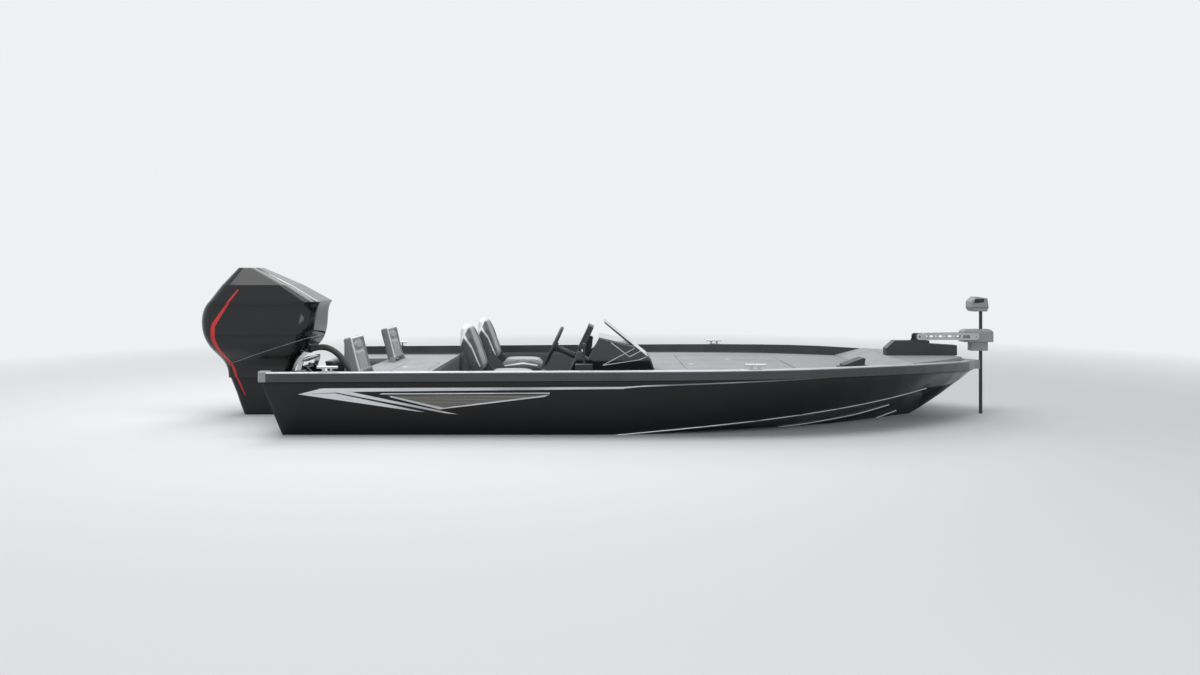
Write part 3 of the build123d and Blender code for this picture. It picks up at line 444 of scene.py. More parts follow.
# %% The other finishes
FINISHES = {
    # slot: colour, second colour, roughness, scale, bump, depth, metallic, coat, and its own
    # specular level where it isn't 0.5
    "rail_metal": ((0.030, 0.031, 0.034), (0.06, 0.062, 0.066), 0.34, 300.0, 0.05, 0.0003, 0.3, 0.2),
    "deck_liner": ((0.40, 0.405, 0.415), (0.28, 0.285, 0.295), 0.92, 420.0, 0.8, 0.0016, 0.0, 0.0),
    "inner_panel": ((0.24, 0.245, 0.255), (0.18, 0.185, 0.195), 0.6, 260.0, 0.3, 0.0006, 0.0, 0.0),
    "console_black": ((0.011, 0.011, 0.012), (0.02, 0.02, 0.022), 0.12, 500.0, 0.02, 0.0002, 0.0, 0.7),
    "trim_black": ((0.022, 0.022, 0.024), (0.045, 0.045, 0.048), 0.5, 700.0, 0.25, 0.0004, 0.0, 0.0),
    "seat_vinyl": ((0.055, 0.056, 0.060), (0.085, 0.086, 0.09), 0.48, 850.0, 0.35, 0.0005, 0.0, 0.0),
    "seat_plastic": ((0.05, 0.051, 0.054), (0.075, 0.076, 0.08), 0.5, 600.0, 0.25, 0.0004, 0.0, 0.0),
    "cowl_paint": ((0.006, 0.006, 0.007), (0.012, 0.012, 0.013), 0.10, 400.0, 0.02, 0.0002, 0.0, 0.6, 0.1),
    "leg_paint": ((0.009, 0.009, 0.010), (0.02, 0.02, 0.021), 0.24, 350.0, 0.08, 0.0003, 0.0, 0.2, 0.2),
    "propeller_metal": ((0.56, 0.56, 0.57), (0.42, 0.42, 0.43), 0.20, 120.0, 0.05, 0.0002, 1.0, 0.0),
    "steel": ((0.60, 0.60, 0.61), (0.45, 0.45, 0.46), 0.18, 300.0, 0.05, 0.0002, 1.0, 0.0),
    "hose_rubber": ((0.014, 0.014, 0.014), (0.03, 0.03, 0.03), 0.6, 500.0, 0.4, 0.0005, 0.0, 0.0),
    "grey_plastic": ((0.34, 0.345, 0.355), (0.27, 0.275, 0.285), 0.5, 600.0, 0.3, 0.0004, 0.0, 0.0),
    "pale_plastic": ((0.60, 0.61, 0.62), (0.48, 0.49, 0.5), 0.35, 300.0, 0.1, 0.0003, 0.0, 0.1),
    "bow_motor_metal": ((0.028, 0.029, 0.032), (0.06, 0.061, 0.065), 0.4, 400.0, 0.15, 0.0003, 0.4, 0.0),
}
ROUNDED = {"cowl_paint": 0.030, "leg_paint": 0.012, "console_black": 0.010, "trim_black": 0.004,
           "grey_plastic": 0.008, "pale_plastic": 0.003, "bow_motor_metal": 0.005, "seat_plastic": 0.008}
for slot_name, values in FINISHES.items():
    finishes[slot_name] = grained(slot_name, *values)
for slot_name, radius in ROUNDED.items():
    rounded(finishes[slot_name], radius)
hose.data.materials.append(finishes["hose_rubber"])
print("finishes", len(finishes), "of which rounded", len(ROUNDED) + 1)

# %% [markdown]
# The screen ahead of the helm is tinted acrylic. Transmission with a dark tint lets what is behind
# it show, and a refractive index lower than the real one keeps the sheet from looking like a lens.

# %% Smoked screen
SMOKE_TINT = (0.06, 0.062, 0.068)
SMOKE_CLEAR, SMOKE_INDEX = 0.85, 1.2
SCRATCH_SCALE, SCRATCH_STRETCH = 300.0, (1, 1, 12)


def smoked_screen():
    """Dark tinted acrylic with faint scratches."""
    made = material("smoked_screen", SMOKE_TINT, 0.08, coat=0.3)
    shader = made.node_tree.nodes["Principled BSDF"]
    shader.inputs["Transmission Weight"].default_value = SMOKE_CLEAR
    shader.inputs["IOR"].default_value = SMOKE_INDEX
    bumped(made, noise(made, SCRATCH_SCALE, 2.0, SCRATCH_STRETCH), 0.03, 0.0002)
    return made


finishes["smoked_screen"] = smoked_screen()
print("finishes", len(finishes))

# %% [markdown]
# The rail's rounded top is painted pale, a painted highlight for the light it catches from above,
# while its side keeps its dark paint, so the direction in which a face points decides its colour.
# The motor's accent and the console's graphic are decals, and use the same polygons as the hull's
# stripes. The pale line along the cowl's seam is a painted highlight of the lower cowl's edge.

# %% Decals and painted highlights
RAIL_TOP_HIGHLIGHT = (0.50, 0.51, 0.53)
# The pale line along the cowl's seam is a painted highlight of the lower cowl's upper edge.
COWL_EDGE_HIGHLIGHT_LINE = ((-3.500, 0.432), (-3.258, 0.516), (-2.813, 0.657), (-2.700, 0.692))
COWL_EDGE_HIGHLIGHT_WIDTH = (0.004, 0.005, 0.005, 0.004)
COWL_EDGE_HIGHLIGHT = (0.45, 0.46, 0.48)
ACCENT_RED = (0.62, 0.03, 0.03)
ACCENT_LINE = ((-3.375, 1.062), (-3.500, 0.872), (-3.560, 0.765), (-3.560, 0.663),
               (-3.522, 0.540), (-3.440, 0.330), (-3.375, 0.165))
ACCENT_WIDTH = (0.012, 0.026, 0.034, 0.034, 0.028, 0.020, 0.006)
CONSOLE_LINES = (((-0.353, 0.495), (-0.077, 0.536)), ((-0.353, 0.495), (-0.110, 0.625)),
                 ((-0.290, 0.668), (-0.150, 0.560)), ((-0.150, 0.560), (-0.060, 0.606)),
                 ((-0.077, 0.536), (-0.020, 0.560)))
CONSOLE_LINE_WIDTH = (0.007, 0.0042)
HEAD_WINDOW = ((2.795, 0.942), (2.808, 0.978), (2.888, 0.980), (2.878, 0.950))
HEAD_SEAM = ((2.70, 0.903), (2.70, 0.908), (2.95, 0.908), (2.95, 0.903))
WINDOW_DARK = (0.012, 0.012, 0.014)


def recoloured(made, factor, colour):
    """Lays a colour over a finish where the factor is 1."""
    shader = made.node_tree.nodes["Principled BSDF"]
    under = shader.inputs["Base Color"].links[0].from_socket
    made.node_tree.links.new(mixed(made, factor, under, colour), shader.inputs["Base Color"])


def band(made, points, widths, colour):
    """A decal of changing width along a line of (x, z) points, one polygon a stretch."""
    x, _, z = xyz_of(made, "Object")
    for (x0, z0), (x1, z1), w0, w1 in zip(points, points[1:], widths, widths[1:]):
        length = math.hypot(x1 - x0, z1 - z0)
        nx, nz = -(z1 - z0) / length / 2, (x1 - x0) / length / 2
        corners = ((x0 + nx * w0, z0 + nz * w0), (x1 + nx * w1, z1 + nz * w1),
                   (x1 - nx * w1, z1 - nz * w1), (x0 - nx * w0, z0 - nz * w0))
        recoloured(made, polygon_mask(made, corners, x, z), colour)


rail, head = finishes["rail_metal"], finishes["grey_plastic"]
# Painted highlight: the rail's upward faces are painted pale for the light they catch from above.
recoloured(rail, spread(rail, xyz_of(rail, "Normal")[2], 0, 1, 0.35, 0.8), RAIL_TOP_HIGHLIGHT)
# Painted highlight along the cowl's seam.
band(finishes["cowl_paint"], COWL_EDGE_HIGHLIGHT_LINE, COWL_EDGE_HIGHLIGHT_WIDTH, COWL_EDGE_HIGHLIGHT)
for slot_name in ("cowl_paint", "leg_paint"):
    band(finishes[slot_name], ACCENT_LINE, ACCENT_WIDTH, ACCENT_RED)
for corners in (HEAD_WINDOW, HEAD_SEAM):
    x, _, z = xyz_of(head, "Object")
    recoloured(head, polygon_mask(head, corners, x, z), WINDOW_DARK)
for line in CONSOLE_LINES:
    band(finishes["console_black"], line, CONSOLE_LINE_WIDTH, SILVER_LIGHT)
print("accent stretches", len(ACCENT_LINE) - 1, "console lines", len(CONSOLE_LINES))

# %% [markdown]
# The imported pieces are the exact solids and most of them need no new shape, only their finish. The
# record names a slot for each node, so one loop dresses them all and no piece is forgotten.

# %% Give each node its finish
for entry in frame["record"]["subparts"]:
    node = nodes[entry["node"]]
    node.data.materials.clear()
    node.data.materials.append(finishes[entry["material_slot"]])

# %% [markdown]
# The seats are foam under stretched vinyl. Each pad starts as a block with soft edges, a little
# smaller than the space it fills. A remesh gives it even faces, which the later steps can bend
# anywhere, and a block would have had corners only.

# %% Soft block
VOXEL = 0.008
EDGE_STEPS = 4


def piece_of(made, name):
    """Puts a finished bmesh in the scene as a piece of its own."""
    data = bpy.data.meshes.new(name)
    made.to_mesh(data)
    made.free()
    piece = bpy.data.objects.new(name, data)
    bpy.context.scene.collection.objects.link(piece)
    return piece


def soften(made, edges, offset, segments):
    """Rounds some edges of a bmesh."""
    bmesh.ops.bevel(made, geom=edges, offset=offset, offset_type="OFFSET", affect="EDGES",
                    segments=segments, profile=0.5, material=-1)


def soft_block(size, edge, shape):
    """A block about its own centre with soft edges; shape, if any, moves each point of its grid."""
    block = bmesh.new()
    bmesh.ops.create_cube(block, size=1.0)
    bmesh.ops.scale(block, vec=size, verts=block.verts)
    soften(block, block.edges[:], edge, EDGE_STEPS)
    made = piece_of(block, "pad")
    remesh = made.modifiers.new("even", "REMESH")
    remesh.mode = "VOXEL"
    remesh.voxel_size = VOXEL
    settle(made)
    if shape:
        for vertex in made.data.vertices:
            vertex.co = shape(vertex.co.copy())
    return made


def settle(made):
    """Applies an object's modifiers to its mesh."""
    ready = bpy.data.meshes.new_from_object(made.evaluated_get(bpy.context.evaluated_depsgraph_get()))
    made.modifiers.clear()
    made.data = ready


# %% [markdown]
# Foam bulges under a tight cover between its seams. A few frames of cloth with air pressure inside
# give that bulge.

# %% Swelling
SWELL_FRAMES = 20
SWELL_PRESSURE = 4.0


def swell(made, most):
    """Blows the pad up as cloth, with no point moving more than the given distance."""
    before = [vertex.co.copy() for vertex in made.data.vertices]
    cloth = made.modifiers.new("cloth", "CLOTH")
    cloth.settings.use_pressure = True
    cloth.settings.uniform_pressure_force = SWELL_PRESSURE
    cloth.settings.effector_weights.gravity = 0
    for step in range(1, SWELL_FRAMES + 1):
        bpy.context.scene.frame_set(step)
    settle(made)
    bpy.context.scene.frame_set(1)
    for vertex, start in zip(made.data.vertices, before):
        moved = vertex.co - start
        if moved.length > most:
            vertex.co = start + moved * (most / moved.length)


# %% [markdown]
# Three helpers for what follows. A smooth step blends one form into another, an attribute remembers
# where on the pad each point was, and the last one leans a copy of the pad and puts it in its seat.
# The place goes into the mesh, so that the object itself stays at the origin.

# %% Easing, tagging and placing
def ease(low, high, value):
    """0 at low, 1 at high, smooth between."""
    t = max(0.0, min(1.0, (value - low) / (high - low)))
    return t * t * (3 - 2 * t)


def tag(made, size):
    """Keeps each point's place on the pad, -1 to 1 each way, for the pad's colours."""
    places = made.data.attributes.new("place", "FLOAT_VECTOR", "POINT")
    for vertex, entry in zip(made.data.vertices, places.data):
        entry.vector = [2 * vertex.co[axis] / size[axis] for axis in range(3)]


def put(made, name, place, lean):
    """Leans a copy of a pad aft by the given degrees and puts it in its place."""
    data = made.data.copy()
    data.transform(Matrix.Translation(place) @ Matrix.Rotation(math.radians(-lean), 4, "Y"))
    data.update()
    piece = bpy.data.objects.new(name, data)
    bpy.context.scene.collection.objects.link(piece)
    for face in data.polygons:
        face.use_smooth = True
    finer = piece.modifiers.new("finer", "SUBSURF")
    finer.levels = finer.render_levels = 1
    return piece


# %% [markdown]
# The helm cushion is crowned, lowest at its corners, and two sewn channels part its light centre
# from the darker sides. The helm back is thickest at the small of the back, and its shoulders are
# rounded. The two small backs on the aft deck have a raised rim round a sunk pad.

# %% Pad shapes
# depth along the boat, width and height of each
CUSHION = (0.375, 0.452, 0.112)
BACK = (0.092, 0.452, 0.410)
JUMP_BACK = (0.066, 0.350, 0.300)
# the cushion falls this far at its sides and its front edge, and thins this much to both ends
SIDE_DROP, FRONT_DROP, END_THINNING = 0.016, 0.022, 0.12
# the back thins to its top and its foot, leans its top ahead, is hollowed for the spine, and
# narrows and drops to its shoulders
TOP_THINNING, FOOT_THINNING, TOP_AHEAD, HOLLOW = 0.42, 0.12, 0.010, 0.008
TOP_NARROWING, SHOULDER_DROP = 0.20, 0.030


def cushion_shape(place):
    """Crowned, and lowest along its front edge."""
    u, v = 2 * place.x / CUSHION[0], 2 * place.y / CUSHION[1]
    if place.z > 0:
        place.z -= SIDE_DROP * abs(v) ** 3 + FRONT_DROP * max(0.0, u) ** 4
        place.z *= 1 - END_THINNING * u * u
    return place


def back_shape(place):
    """Thick at the small of the back, thin at the top; ease works in shares of the half height."""
    v, w = 2 * place.y / BACK[1], 2 * place.z / BACK[2]
    place.x *= 1.0 - TOP_THINNING * ease(0.1, 1.0, w) - FOOT_THINNING * ease(-0.4, -1.0, w)
    place.x += TOP_AHEAD * ease(0.2, 1.0, w) - HOLLOW * (1 - v * v) * ease(-1.0, 0.0, w)
    place.y *= 1.0 - TOP_NARROWING * ease(0.35, 1.0, w)
    place.z -= SHOULDER_DROP * abs(v) ** 3 * ease(0.3, 1.0, w)
    return place


# %% [markdown]
# A sewn seam pulls the vinyl down into the foam. It is a narrow valley, deepest on the seam and
# gone a few millimetres away, so each point is pushed in along its normal by a bell curve of its
# distance. The moulded backs of the jump seats are sunk inside a rim in the same way.

# %% Seams and sunk pads
SEAM_DEPTH, SEAM_HALF_WIDTH = 0.006, 0.007
# where a seam runs, as a share of the half width, and how far it bows out to the pad's ends
CUSHION_SEAM, BACK_SEAM = (0.52, 0.10), (0.50, -0.18)
BACK_SEAM_FOOT = -0.9
JUMP_FRONT = 0.2
JUMP_RIM, JUMP_SUNK, JUMP_RAISED = (0.026, 0.040), 0.017, 0.75
# middle height, half height and side margin of the two raised pads
UPPER_PAD, LOWER_PAD = (0.082, 0.040, 0.052), (-0.050, 0.082, 0.050)


def groove(made, size, line):
    """Presses a seam into the pad; line gives the distance of a point from the seam."""
    for vertex in made.data.vertices:
        u, v, w = (2 * vertex.co[axis] / size[axis] for axis in range(3))
        away = line(u, v, w)
        if away is not None:
            push = SEAM_DEPTH * math.exp(-(away / SEAM_HALF_WIDTH) ** 2)
            vertex.co -= vertex.normal * push


def cushion_seam(u, v, w):
    """Distance from the nearer of the two seams on the cushion's top."""
    if w < 0:
        return None
    return abs(abs(v) - (CUSHION_SEAM[0] + CUSHION_SEAM[1] * u * u)) * CUSHION[1] / 2


def back_seam(u, v, w):
    """Distance from the nearer of the two seams on the back's front."""
    if u < 0 or w < BACK_SEAM_FOOT:
        return None
    return abs(abs(v) - (BACK_SEAM[0] + BACK_SEAM[1] * w * w)) * BACK[1] / 2


def jump_press(made):
    """Sinks the front inside its rim and leaves two pads in it."""
    half_w, half_h = JUMP_BACK[1] / 2, JUMP_BACK[2] / 2
    for vertex in made.data.vertices:
        if vertex.co.x < JUMP_BACK[0] * JUMP_FRONT:
            continue
        y, z = abs(vertex.co.y), vertex.co.z
        sunk = ease(*JUMP_RIM, min(half_w - y, half_h - abs(z)))
        (high, tall, margin), (low, deep, side) = UPPER_PAD, LOWER_PAD
        upper = 1 - ease(0.75, 1.0, math.hypot(y / (half_w - margin), (z - high) / tall))
        lower = 1 - ease(0.80, 1.0, max(y / (half_w - side), abs(z - low) / deep))
        vertex.co.x -= JUMP_SUNK * sunk * (1 - JUMP_RAISED * max(upper, lower))


# %% [markdown]
# Left and right seats share their pads: each shape is made once, and copied to its places later.
# The cushion's underside is pressed flat again after the swelling, because it lies on its base.

# %% Make the pads
PADS = (
    # pad, size, soft edge, shape, most swelling
    ("cushion", CUSHION, 0.040, cushion_shape, 0.010),
    ("back", BACK, 0.034, back_shape, 0.012),
    ("jump", JUMP_BACK, 0.012, None, 0.005),
)
shapes = {}
for pad_name, size, edge, shape, most in PADS:
    shapes[pad_name] = soft_block(size, edge, shape)
    swell(shapes[pad_name], most)
for vertex in shapes["cushion"].data.vertices:
    vertex.co.z = max(vertex.co.z, -CUSHION[2] / 2)
groove(shapes["cushion"], CUSHION, cushion_seam)
groove(shapes["back"], BACK, back_seam)
jump_press(shapes["jump"])
for pad_name, size, *_ in PADS:
    tag(shapes[pad_name], size)
    print(pad_name, len(shapes[pad_name].data.vertices), "points")

# %% [markdown]
# Seat covers are sewn from panels of different vinyl. Each pad carries its own place on it as an
# attribute, so the panels' edges are polygons on the pad and lean with it.

# %% Seat vinyl
VINYL_DARK = (0.075, 0.077, 0.083)
VINYL_GREY = (0.33, 0.335, 0.345)
VINYL_WHITE = (0.72, 0.73, 0.74)
SIDE_PANELS = {
    # pad: (colour, corners in depth and height), each convex and clockwise
    "back": ((VINYL_WHITE, ((-1.3, 0.20), (-1.3, 1.4), (1.4, 1.4), (1.4, 0.98))),
             (VINYL_WHITE, ((-0.35, 0.55), (-0.05, 0.66), (0.62, 0.15), (0.42, 0.05))),
             (VINYL_WHITE, ((0.42, 0.10), (0.64, 0.15), (0.92, -0.70), (0.74, -0.78)))),
    "cushion": ((VINYL_WHITE, ((-0.95, 0.05), (-0.90, 0.25), (0.10, 0.72), (0.12, 0.50))),
                (VINYL_WHITE, ((0.10, 0.50), (0.10, 0.72), (0.80, 0.35), (0.74, 0.18)))),
    "jump": (),
}
BODY_TONES = {
    "back": (VINYL_DARK, (0.11, 0.112, 0.118)),
    "cushion": (VINYL_DARK, (0.11, 0.112, 0.118)),
    "jump": ((0.20, 0.205, 0.215), (0.26, 0.265, 0.275)),
}
CENTRES = {
    # pad: half width of the light centre, lowest and highest depth and height
    "back": (0.46, (0.35, 2.0), (-0.9, 0.8)),
    "cushion": (0.50, (-2.0, 2.0), (0.2, 2.0)),
    "jump": (0.78, (0.1, 2.0), (-0.84, 0.86)),
}
PIPING = (0.90, 0.965)
PEBBLE_SCALE, TONE_SCALE, SHINE_SCALE = 650.0, 9.0, 30.0


def box_corners(across, up):
    """The corners of an upright rectangle, clockwise."""
    return ((across[0], up[0]), (across[0], up[1]), (across[1], up[1]), (across[1], up[0]))


def vinyl(pad_name):
    """Pebbled vinyl with the panels of one pad."""
    made = material("vinyl_" + pad_name, VINYL_DARK, 0.45)
    all_nodes, links = tree(made)
    shader = all_nodes["Principled BSDF"]
    place = all_nodes.new("ShaderNodeAttribute")
    place.attribute_name = "place"
    u, v, w = xyz_of(made, place.outputs["Vector"])
    pebble = all_nodes.new("ShaderNodeTexVoronoi")
    pebble.inputs["Scale"].default_value = PEBBLE_SCALE
    links.new(all_nodes["where"].outputs["Object"], pebble.inputs["Vector"])
    half, deep, tall = CENTRES[pad_name]
    across = polygon_mask(made, box_corners((-half, half), tall), v, w, 0.008)
    along = polygon_mask(made, box_corners(deep, tall), u, w, 0.02)
    centre = times(made, across, along)
    base = mixed(made, spread(made, noise(made, TONE_SCALE), 0, 0.5), *BODY_TONES[pad_name])
    colour = mixed(made, centre, base, VINYL_GREY)
    for panel, corners in SIDE_PANELS[pad_name]:
        colour = mixed(made, polygon_mask(made, corners, u, w, 0.01), colour, panel)
    if pad_name == "jump":
        inner, outer = (polygon_mask(made, box_corners((-edge, edge), (-2.0, edge)), v, w, 0.012)
                        for edge in PIPING)
        front = spread(made, u, 0, 1, 0.70, 0.78)
        rim = mixed(made, inner, outer, (0, 0, 0))
        colour = mixed(made, times(made, rim, front), colour, VINYL_WHITE)
    links.new(colour, shader.inputs["Base Color"])
    links.new(spread(made, noise(made, SHINE_SCALE), 0.38, 0.55), shader.inputs["Roughness"])
    bumped(made, pebble.outputs["Distance"], 0.25, 0.0006)
    return made


covers = {pad_name: vinyl(pad_name) for pad_name in shapes}
print("covers", sorted(covers))

# %% [markdown]
# A folding back turns on a steel pin through its foot. A cone operator with two equal radii makes
# the pin, and a small bevel takes the sharp edge off its ends, as a lathe would. The pin turns
# with the back, so that it rides on the same body.

# %% Hinge pins
PIN_R = 0.006
PIN_SIDES = 24
PIN_CHAMFER, CHAMFER_STEPS = 0.0012, 2


def dress(piece, finish, body):
    """Gives a piece its finish and the body that carries it."""
    piece.data.materials.append(finishes[finish])
    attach(piece, body)


def hinge_pin(name, length, place, body):
    """A pin across the boat with softened ends."""
    pin = bmesh.new()
    bmesh.ops.create_cone(pin, cap_ends=True, segments=PIN_SIDES, radius1=PIN_R, radius2=PIN_R, depth=length)
    ends = [edge for edge in pin.edges if any(len(face.verts) > 4 for face in edge.link_faces)]
    soften(pin, ends, PIN_CHAMFER, CHAMFER_STEPS)
    across = Matrix.Translation(place) @ Matrix.Rotation(math.radians(90), 4, "X")
    bmesh.ops.transform(pin, verts=pin.verts, matrix=across)
    dress(piece_of(pin, name), "steel", body)


# %% [markdown]
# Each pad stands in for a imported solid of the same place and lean. The table gives the pivot of
# the seat and the pad's offset from it, measured along the leaning back, so that a back keeps its
# place on its hinge.

# %% Place the pads
SEATS = (
    # piece, pad, node, body, pivot, offset ahead and up, lean
    ("helm_cushion_pad_starboard", "cushion", "helm_cushion_starboard", "hull",
     (-1.075, -0.5, 0.365), (0.0, 0.0), 0),
    ("helm_cushion_pad_port", "cushion", "helm_cushion_port", "hull",
     (-1.075, 0.5, 0.365), (0.0, 0.0), 0),
    ("helm_back_pad_starboard", "back", "helm_back_starboard", "seat_back_starboard",
     (-1.345, -0.5, 0.495), (-0.0075, 0.1175), 18),
    ("helm_back_pad_port", "back", "helm_back_port", "seat_back_port",
     (-1.345, 0.5, 0.495), (-0.0075, 0.1175), 18),
    ("jump_back_pad_starboard", "jump", "jump_seat_back_starboard", "jump_back_starboard",
     (-2.23, -0.62, 0.432), (-0.013, 0.135), 14),
    ("jump_back_pad_port", "jump", "jump_seat_back_port", "jump_back_port",
     (-2.23, 0.53, 0.432), (-0.013, 0.135), 14),
)
for piece_name, pad_name, node, body, pivot, (ahead, up), lean in SEATS:
    offset = Matrix.Rotation(math.radians(-lean), 3, "Y") @ Vector((ahead, 0, up))
    piece = put(shapes[pad_name], piece_name, Vector(pivot) + offset, lean)
    piece.data.materials.clear()
    piece.data.materials.append(covers[pad_name])
    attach(piece, body)
    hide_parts(node)
    if lean:
        low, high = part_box(node)
        hinge_pin(piece_name + "_pin", high[1] - low[1], pivot, body)
for pad in shapes.values():
    bpy.data.objects.remove(pad)
print("pads placed", len(SEATS))

# %% [markdown]
# The chine is the corner where the side meets the bottom. Its line comes from the same formulas as
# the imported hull's, so that a bead on it follows the plates from end to end.

# %% The chine's line
CHINE_LOW, CHINE_LEVEL_TO_X, CHINE_RISE = -0.015, -0.375, 0.0926
CHINE_HALF_WIDTH, CHINE_END_X, CHINE_FULLNESS = 0.990, 2.53, 2.6


def chine_height(x):
    """Height of the chine: level aft, rising steadily to the bow."""
    return CHINE_LOW + CHINE_RISE * max(0.0, x - CHINE_LEVEL_TO_X)


def chine_width(x):
    """Half width of the hull at the chine, closing to the stem."""
    return CHINE_HALF_WIDTH * (1 - max(0.0, x / CHINE_END_X) ** CHINE_FULLNESS)


print("chine half width amidships", chine_width(0.0), "height at the end", round(chine_height(CHINE_END_X), 3))

# %% [markdown]
# The chine and the strakes catch the sky as bright lines. A thin bead of steel finish, half sunk in
# the plates, stands in for each of these lines as a painted highlight. A strake has no formula here:
# its line is found by looking up at the bottom from below, point by point, and the points stand
# closer together where the bow curves.

# %% Beads that paint the highlights along the chine and strakes
CHINE_BEAD_R, STRAKE_R = 0.006, 0.008
BEAD_STATIONS = (-2.60, -2.00, -1.20, -0.375, 0.0, 0.4, 0.8, 1.15, 1.45, 1.70, 1.95, 2.15, 2.35)
STRAKE_STATIONS = (-2.45, -1.60, -0.80, 0.00, 0.35, 0.65, 0.90, 1.15, 1.35, 1.55, 1.70, 1.85)
# each strake's share of the chine's half width, and where it ends
STRAKES = ((0.72, 1.98), (0.42, 2.10))
STRAKE_OUT = 0.004
LOOK_FROM_Z = -2.0


def met(node, start, way, out):
    """A point the given distance out from where a line from start first meets a CAD node."""
    hit, place, normal, _ = nodes[node].ray_cast(start, way)
    if not hit:
        raise ValueError("%s isn't met from %s" % (node, start))
    return tuple(place + normal * out)


def bead(name, points, radius, body, finish):
    """A round bead along a line, with its finish and its body."""
    dress(smooth_curve(name, points, radius), finish, body)


# Each bead is a painted highlight: a bright line put where the chine and strakes catch the sky.
for side, side_name in ((-1, "starboard"), (1, "port")):
    line = [(x, side * chine_width(x), chine_height(x)) for x in BEAD_STATIONS]
    bead("chine_highlight_bead_" + side_name, line, CHINE_BEAD_R, "hull", "steel")
    for number, (share, last) in enumerate(STRAKES):
        line = [met("hull_shell", (x, side * share * chine_width(x), LOOK_FROM_Z), (0, 0, 1), STRAKE_OUT)
                for x in (*STRAKE_STATIONS, last)]
        bead("strake_%d_%s" % (number + 1, side_name), line, STRAKE_R, "hull", "steel")
print("beads", 2 + 2 * len(STRAKES))

# %% [markdown]
# A screen is a thin dark plate set in the display's face. It is cut from a plate with an inset rim,
# so that the glass sits a little back from its frame.

# %% Display screen
DISPLAY_LOW, DISPLAY_HIGH = Vector((-0.551, 0, 0.612)), Vector((-0.465, 0, 0.792))
DISPLAY_Y = (-0.660, -0.340)
GLASS_WIDTH, GLASS_HEIGHT, GLASS_THICK = 0.285, 0.165, 0.002
RIM_WIDTH = 0.012
GLASS_BACK, GLASS_OUT = 0.0025, 0.0025


def open_edges(made):
    """The edges that have a face on one side only."""
    return [edge for edge in made.edges if edge.is_boundary]


def close_back(made, thick):
    """Turns the open edge of an upward face down by the thickness and closes the back."""
    walls = bmesh.ops.extrude_edge_only(made, edges=open_edges(made))
    turned = [part for part in walls["geom"] if isinstance(part, bmesh.types.BMVert)]
    bmesh.ops.translate(made, vec=(0, 0, -thick), verts=turned)
    bmesh.ops.holes_fill(made, edges=open_edges(made))
    bmesh.ops.recalc_face_normals(made, faces=made.faces)


display_up = (DISPLAY_HIGH - DISPLAY_LOW).normalized()
display_out = Vector((-display_up.z, 0, display_up.x))
display_middle = (DISPLAY_LOW + DISPLAY_HIGH) / 2 + Vector((0, sum(DISPLAY_Y) / 2, 0))
glass = bmesh.new()
bmesh.ops.create_grid(glass, x_segments=1, y_segments=1, size=0.5)
bmesh.ops.scale(glass, vec=(GLASS_WIDTH, GLASS_HEIGHT, 1), verts=glass.verts)
front = glass.faces[:]
bmesh.ops.inset_region(glass, faces=front, thickness=RIM_WIDTH, depth=0.0)
bmesh.ops.translate(glass, vec=(0, 0, -GLASS_BACK), verts=front[0].verts)
close_back(glass, GLASS_THICK)
turn = Matrix((display_up.cross(display_out), display_up, display_out)).transposed().to_4x4()
bmesh.ops.transform(glass, verts=glass.verts,
                    matrix=Matrix.Translation(display_middle + display_out * GLASS_OUT) @ turn)
dress(piece_of(glass, "display_glass"), "console_black", "hull")
print("display leans", round(math.degrees(math.atan2(display_up.x, display_up.z))), "degrees")

# %% [markdown]
# Each hatch has a flush pull latch: a round cup with a ring in it. A disc is inset and sunk for the
# cup, and its outer edge is turned down to the deck.

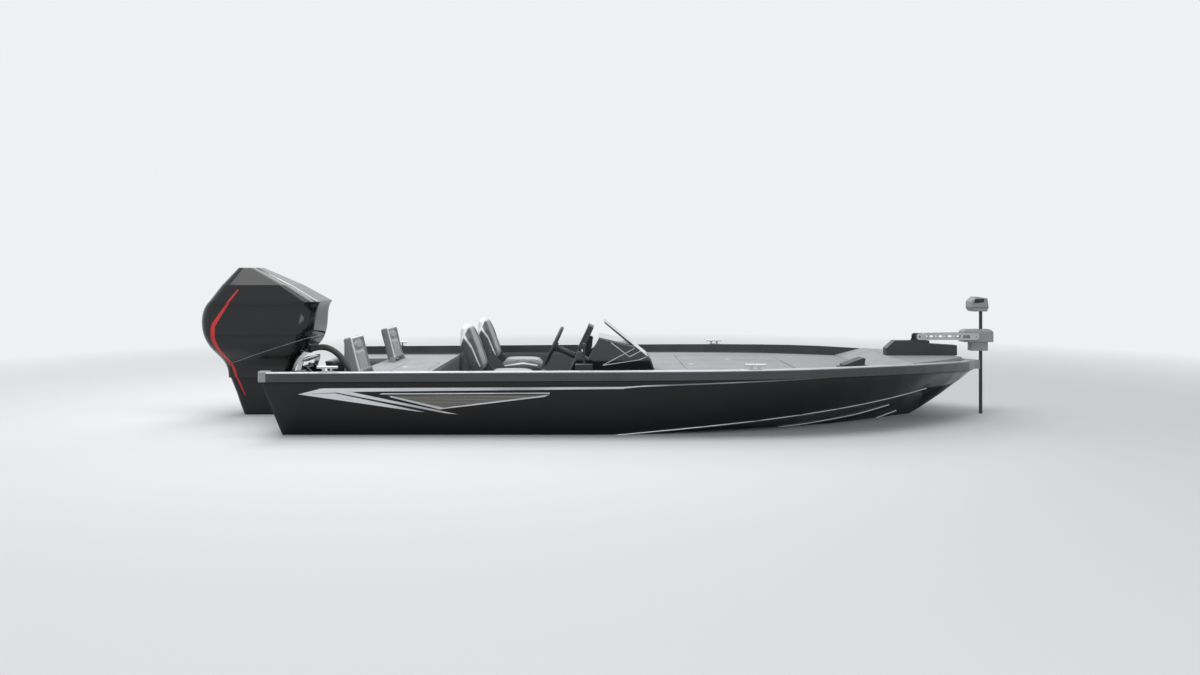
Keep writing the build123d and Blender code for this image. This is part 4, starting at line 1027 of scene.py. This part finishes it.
# %% Hatch latches
LATCH_R = 0.030
LATCH_SIDES = 40
LATCH_UP = 0.0025
LATCH_RINGS = (
    # inset and step up of each ring: the lip, the cup's wall, its floor, the edge of the pull
    (0.006, 0.0), (0.001, -0.0018), (0.009, 0.0), (0.001, 0.0014),
)
LATCHES = (
    # name, body, place on the deck
    ("latch_centre", "centre_lid", (0.40, 0.0, 0.420)),
    ("latch_port", "port_lid", (0.78, 0.42, 0.420)),
    ("latch_starboard", "starboard_lid", (0.78, -0.42, 0.420)),
    ("latch_stern", "stern_lid", (-2.03, -0.045, 0.400)),
)
for latch_name, body, place in LATCHES:
    made = bmesh.new()
    bmesh.ops.create_circle(made, cap_ends=True, segments=LATCH_SIDES, radius=LATCH_R)
    cup = made.faces[:]
    bmesh.ops.translate(made, vec=(0, 0, LATCH_UP), verts=made.verts)
    for thickness, step in LATCH_RINGS:
        bmesh.ops.inset_region(made, faces=cup, thickness=thickness, depth=step)
    close_back(made, LATCH_UP)
    bmesh.ops.translate(made, vec=place, verts=made.verts)
    dress(piece_of(made, latch_name), "pale_plastic", body)
print("latches", len(LATCHES))

# %% [markdown]
# The floor is a wide pale sheet at the waterline that takes the boat's shadow. It isn't part of
# the boat. Away from the boat it fades into the backdrop's own tone, so that no horizon shows: its
# grey gives way to a glow that only the camera, metal and glass see, and that lights nothing.

# %% Floor
FLOOR_SIZE = 240.0
FLOOR_GREY = (0.70, 0.71, 0.72)
FADE_NEAR, FADE_FAR = 3.4, 10.0


def floor_finish():
    """Pale grey near the boat, and the backdrop's own tone farther out."""
    made = material("floor", FLOOR_GREY, 0.7, specular=0.0)
    all_nodes, links = tree(made)
    shader = all_nodes["Principled BSDF"]
    away = all_nodes.new("ShaderNodeVectorMath")
    away.operation = "LENGTH"
    links.new(all_nodes["where"].outputs["Object"], away.inputs[0])
    fade = spread(made, away.outputs["Value"], 0, 1, FADE_NEAR, FADE_FAR)
    links.new(mixed(made, fade, FLOOR_GREY, (0.0, 0.0, 0.0)), shader.inputs["Base Color"])
    shader.inputs["Emission Color"].default_value = WORLD_COLOUR
    links.new(times(made, fade, seen_rays(made)), shader.inputs["Emission Strength"])
    return made


floor_mesh = bmesh.new()
bmesh.ops.create_grid(floor_mesh, x_segments=1, y_segments=1, size=FLOOR_SIZE / 2)
floor = piece_of(floor_mesh, "floor")
floor.data.materials.append(floor_finish())
print("floor fades from", FADE_NEAR, "to", FADE_FAR, "m")
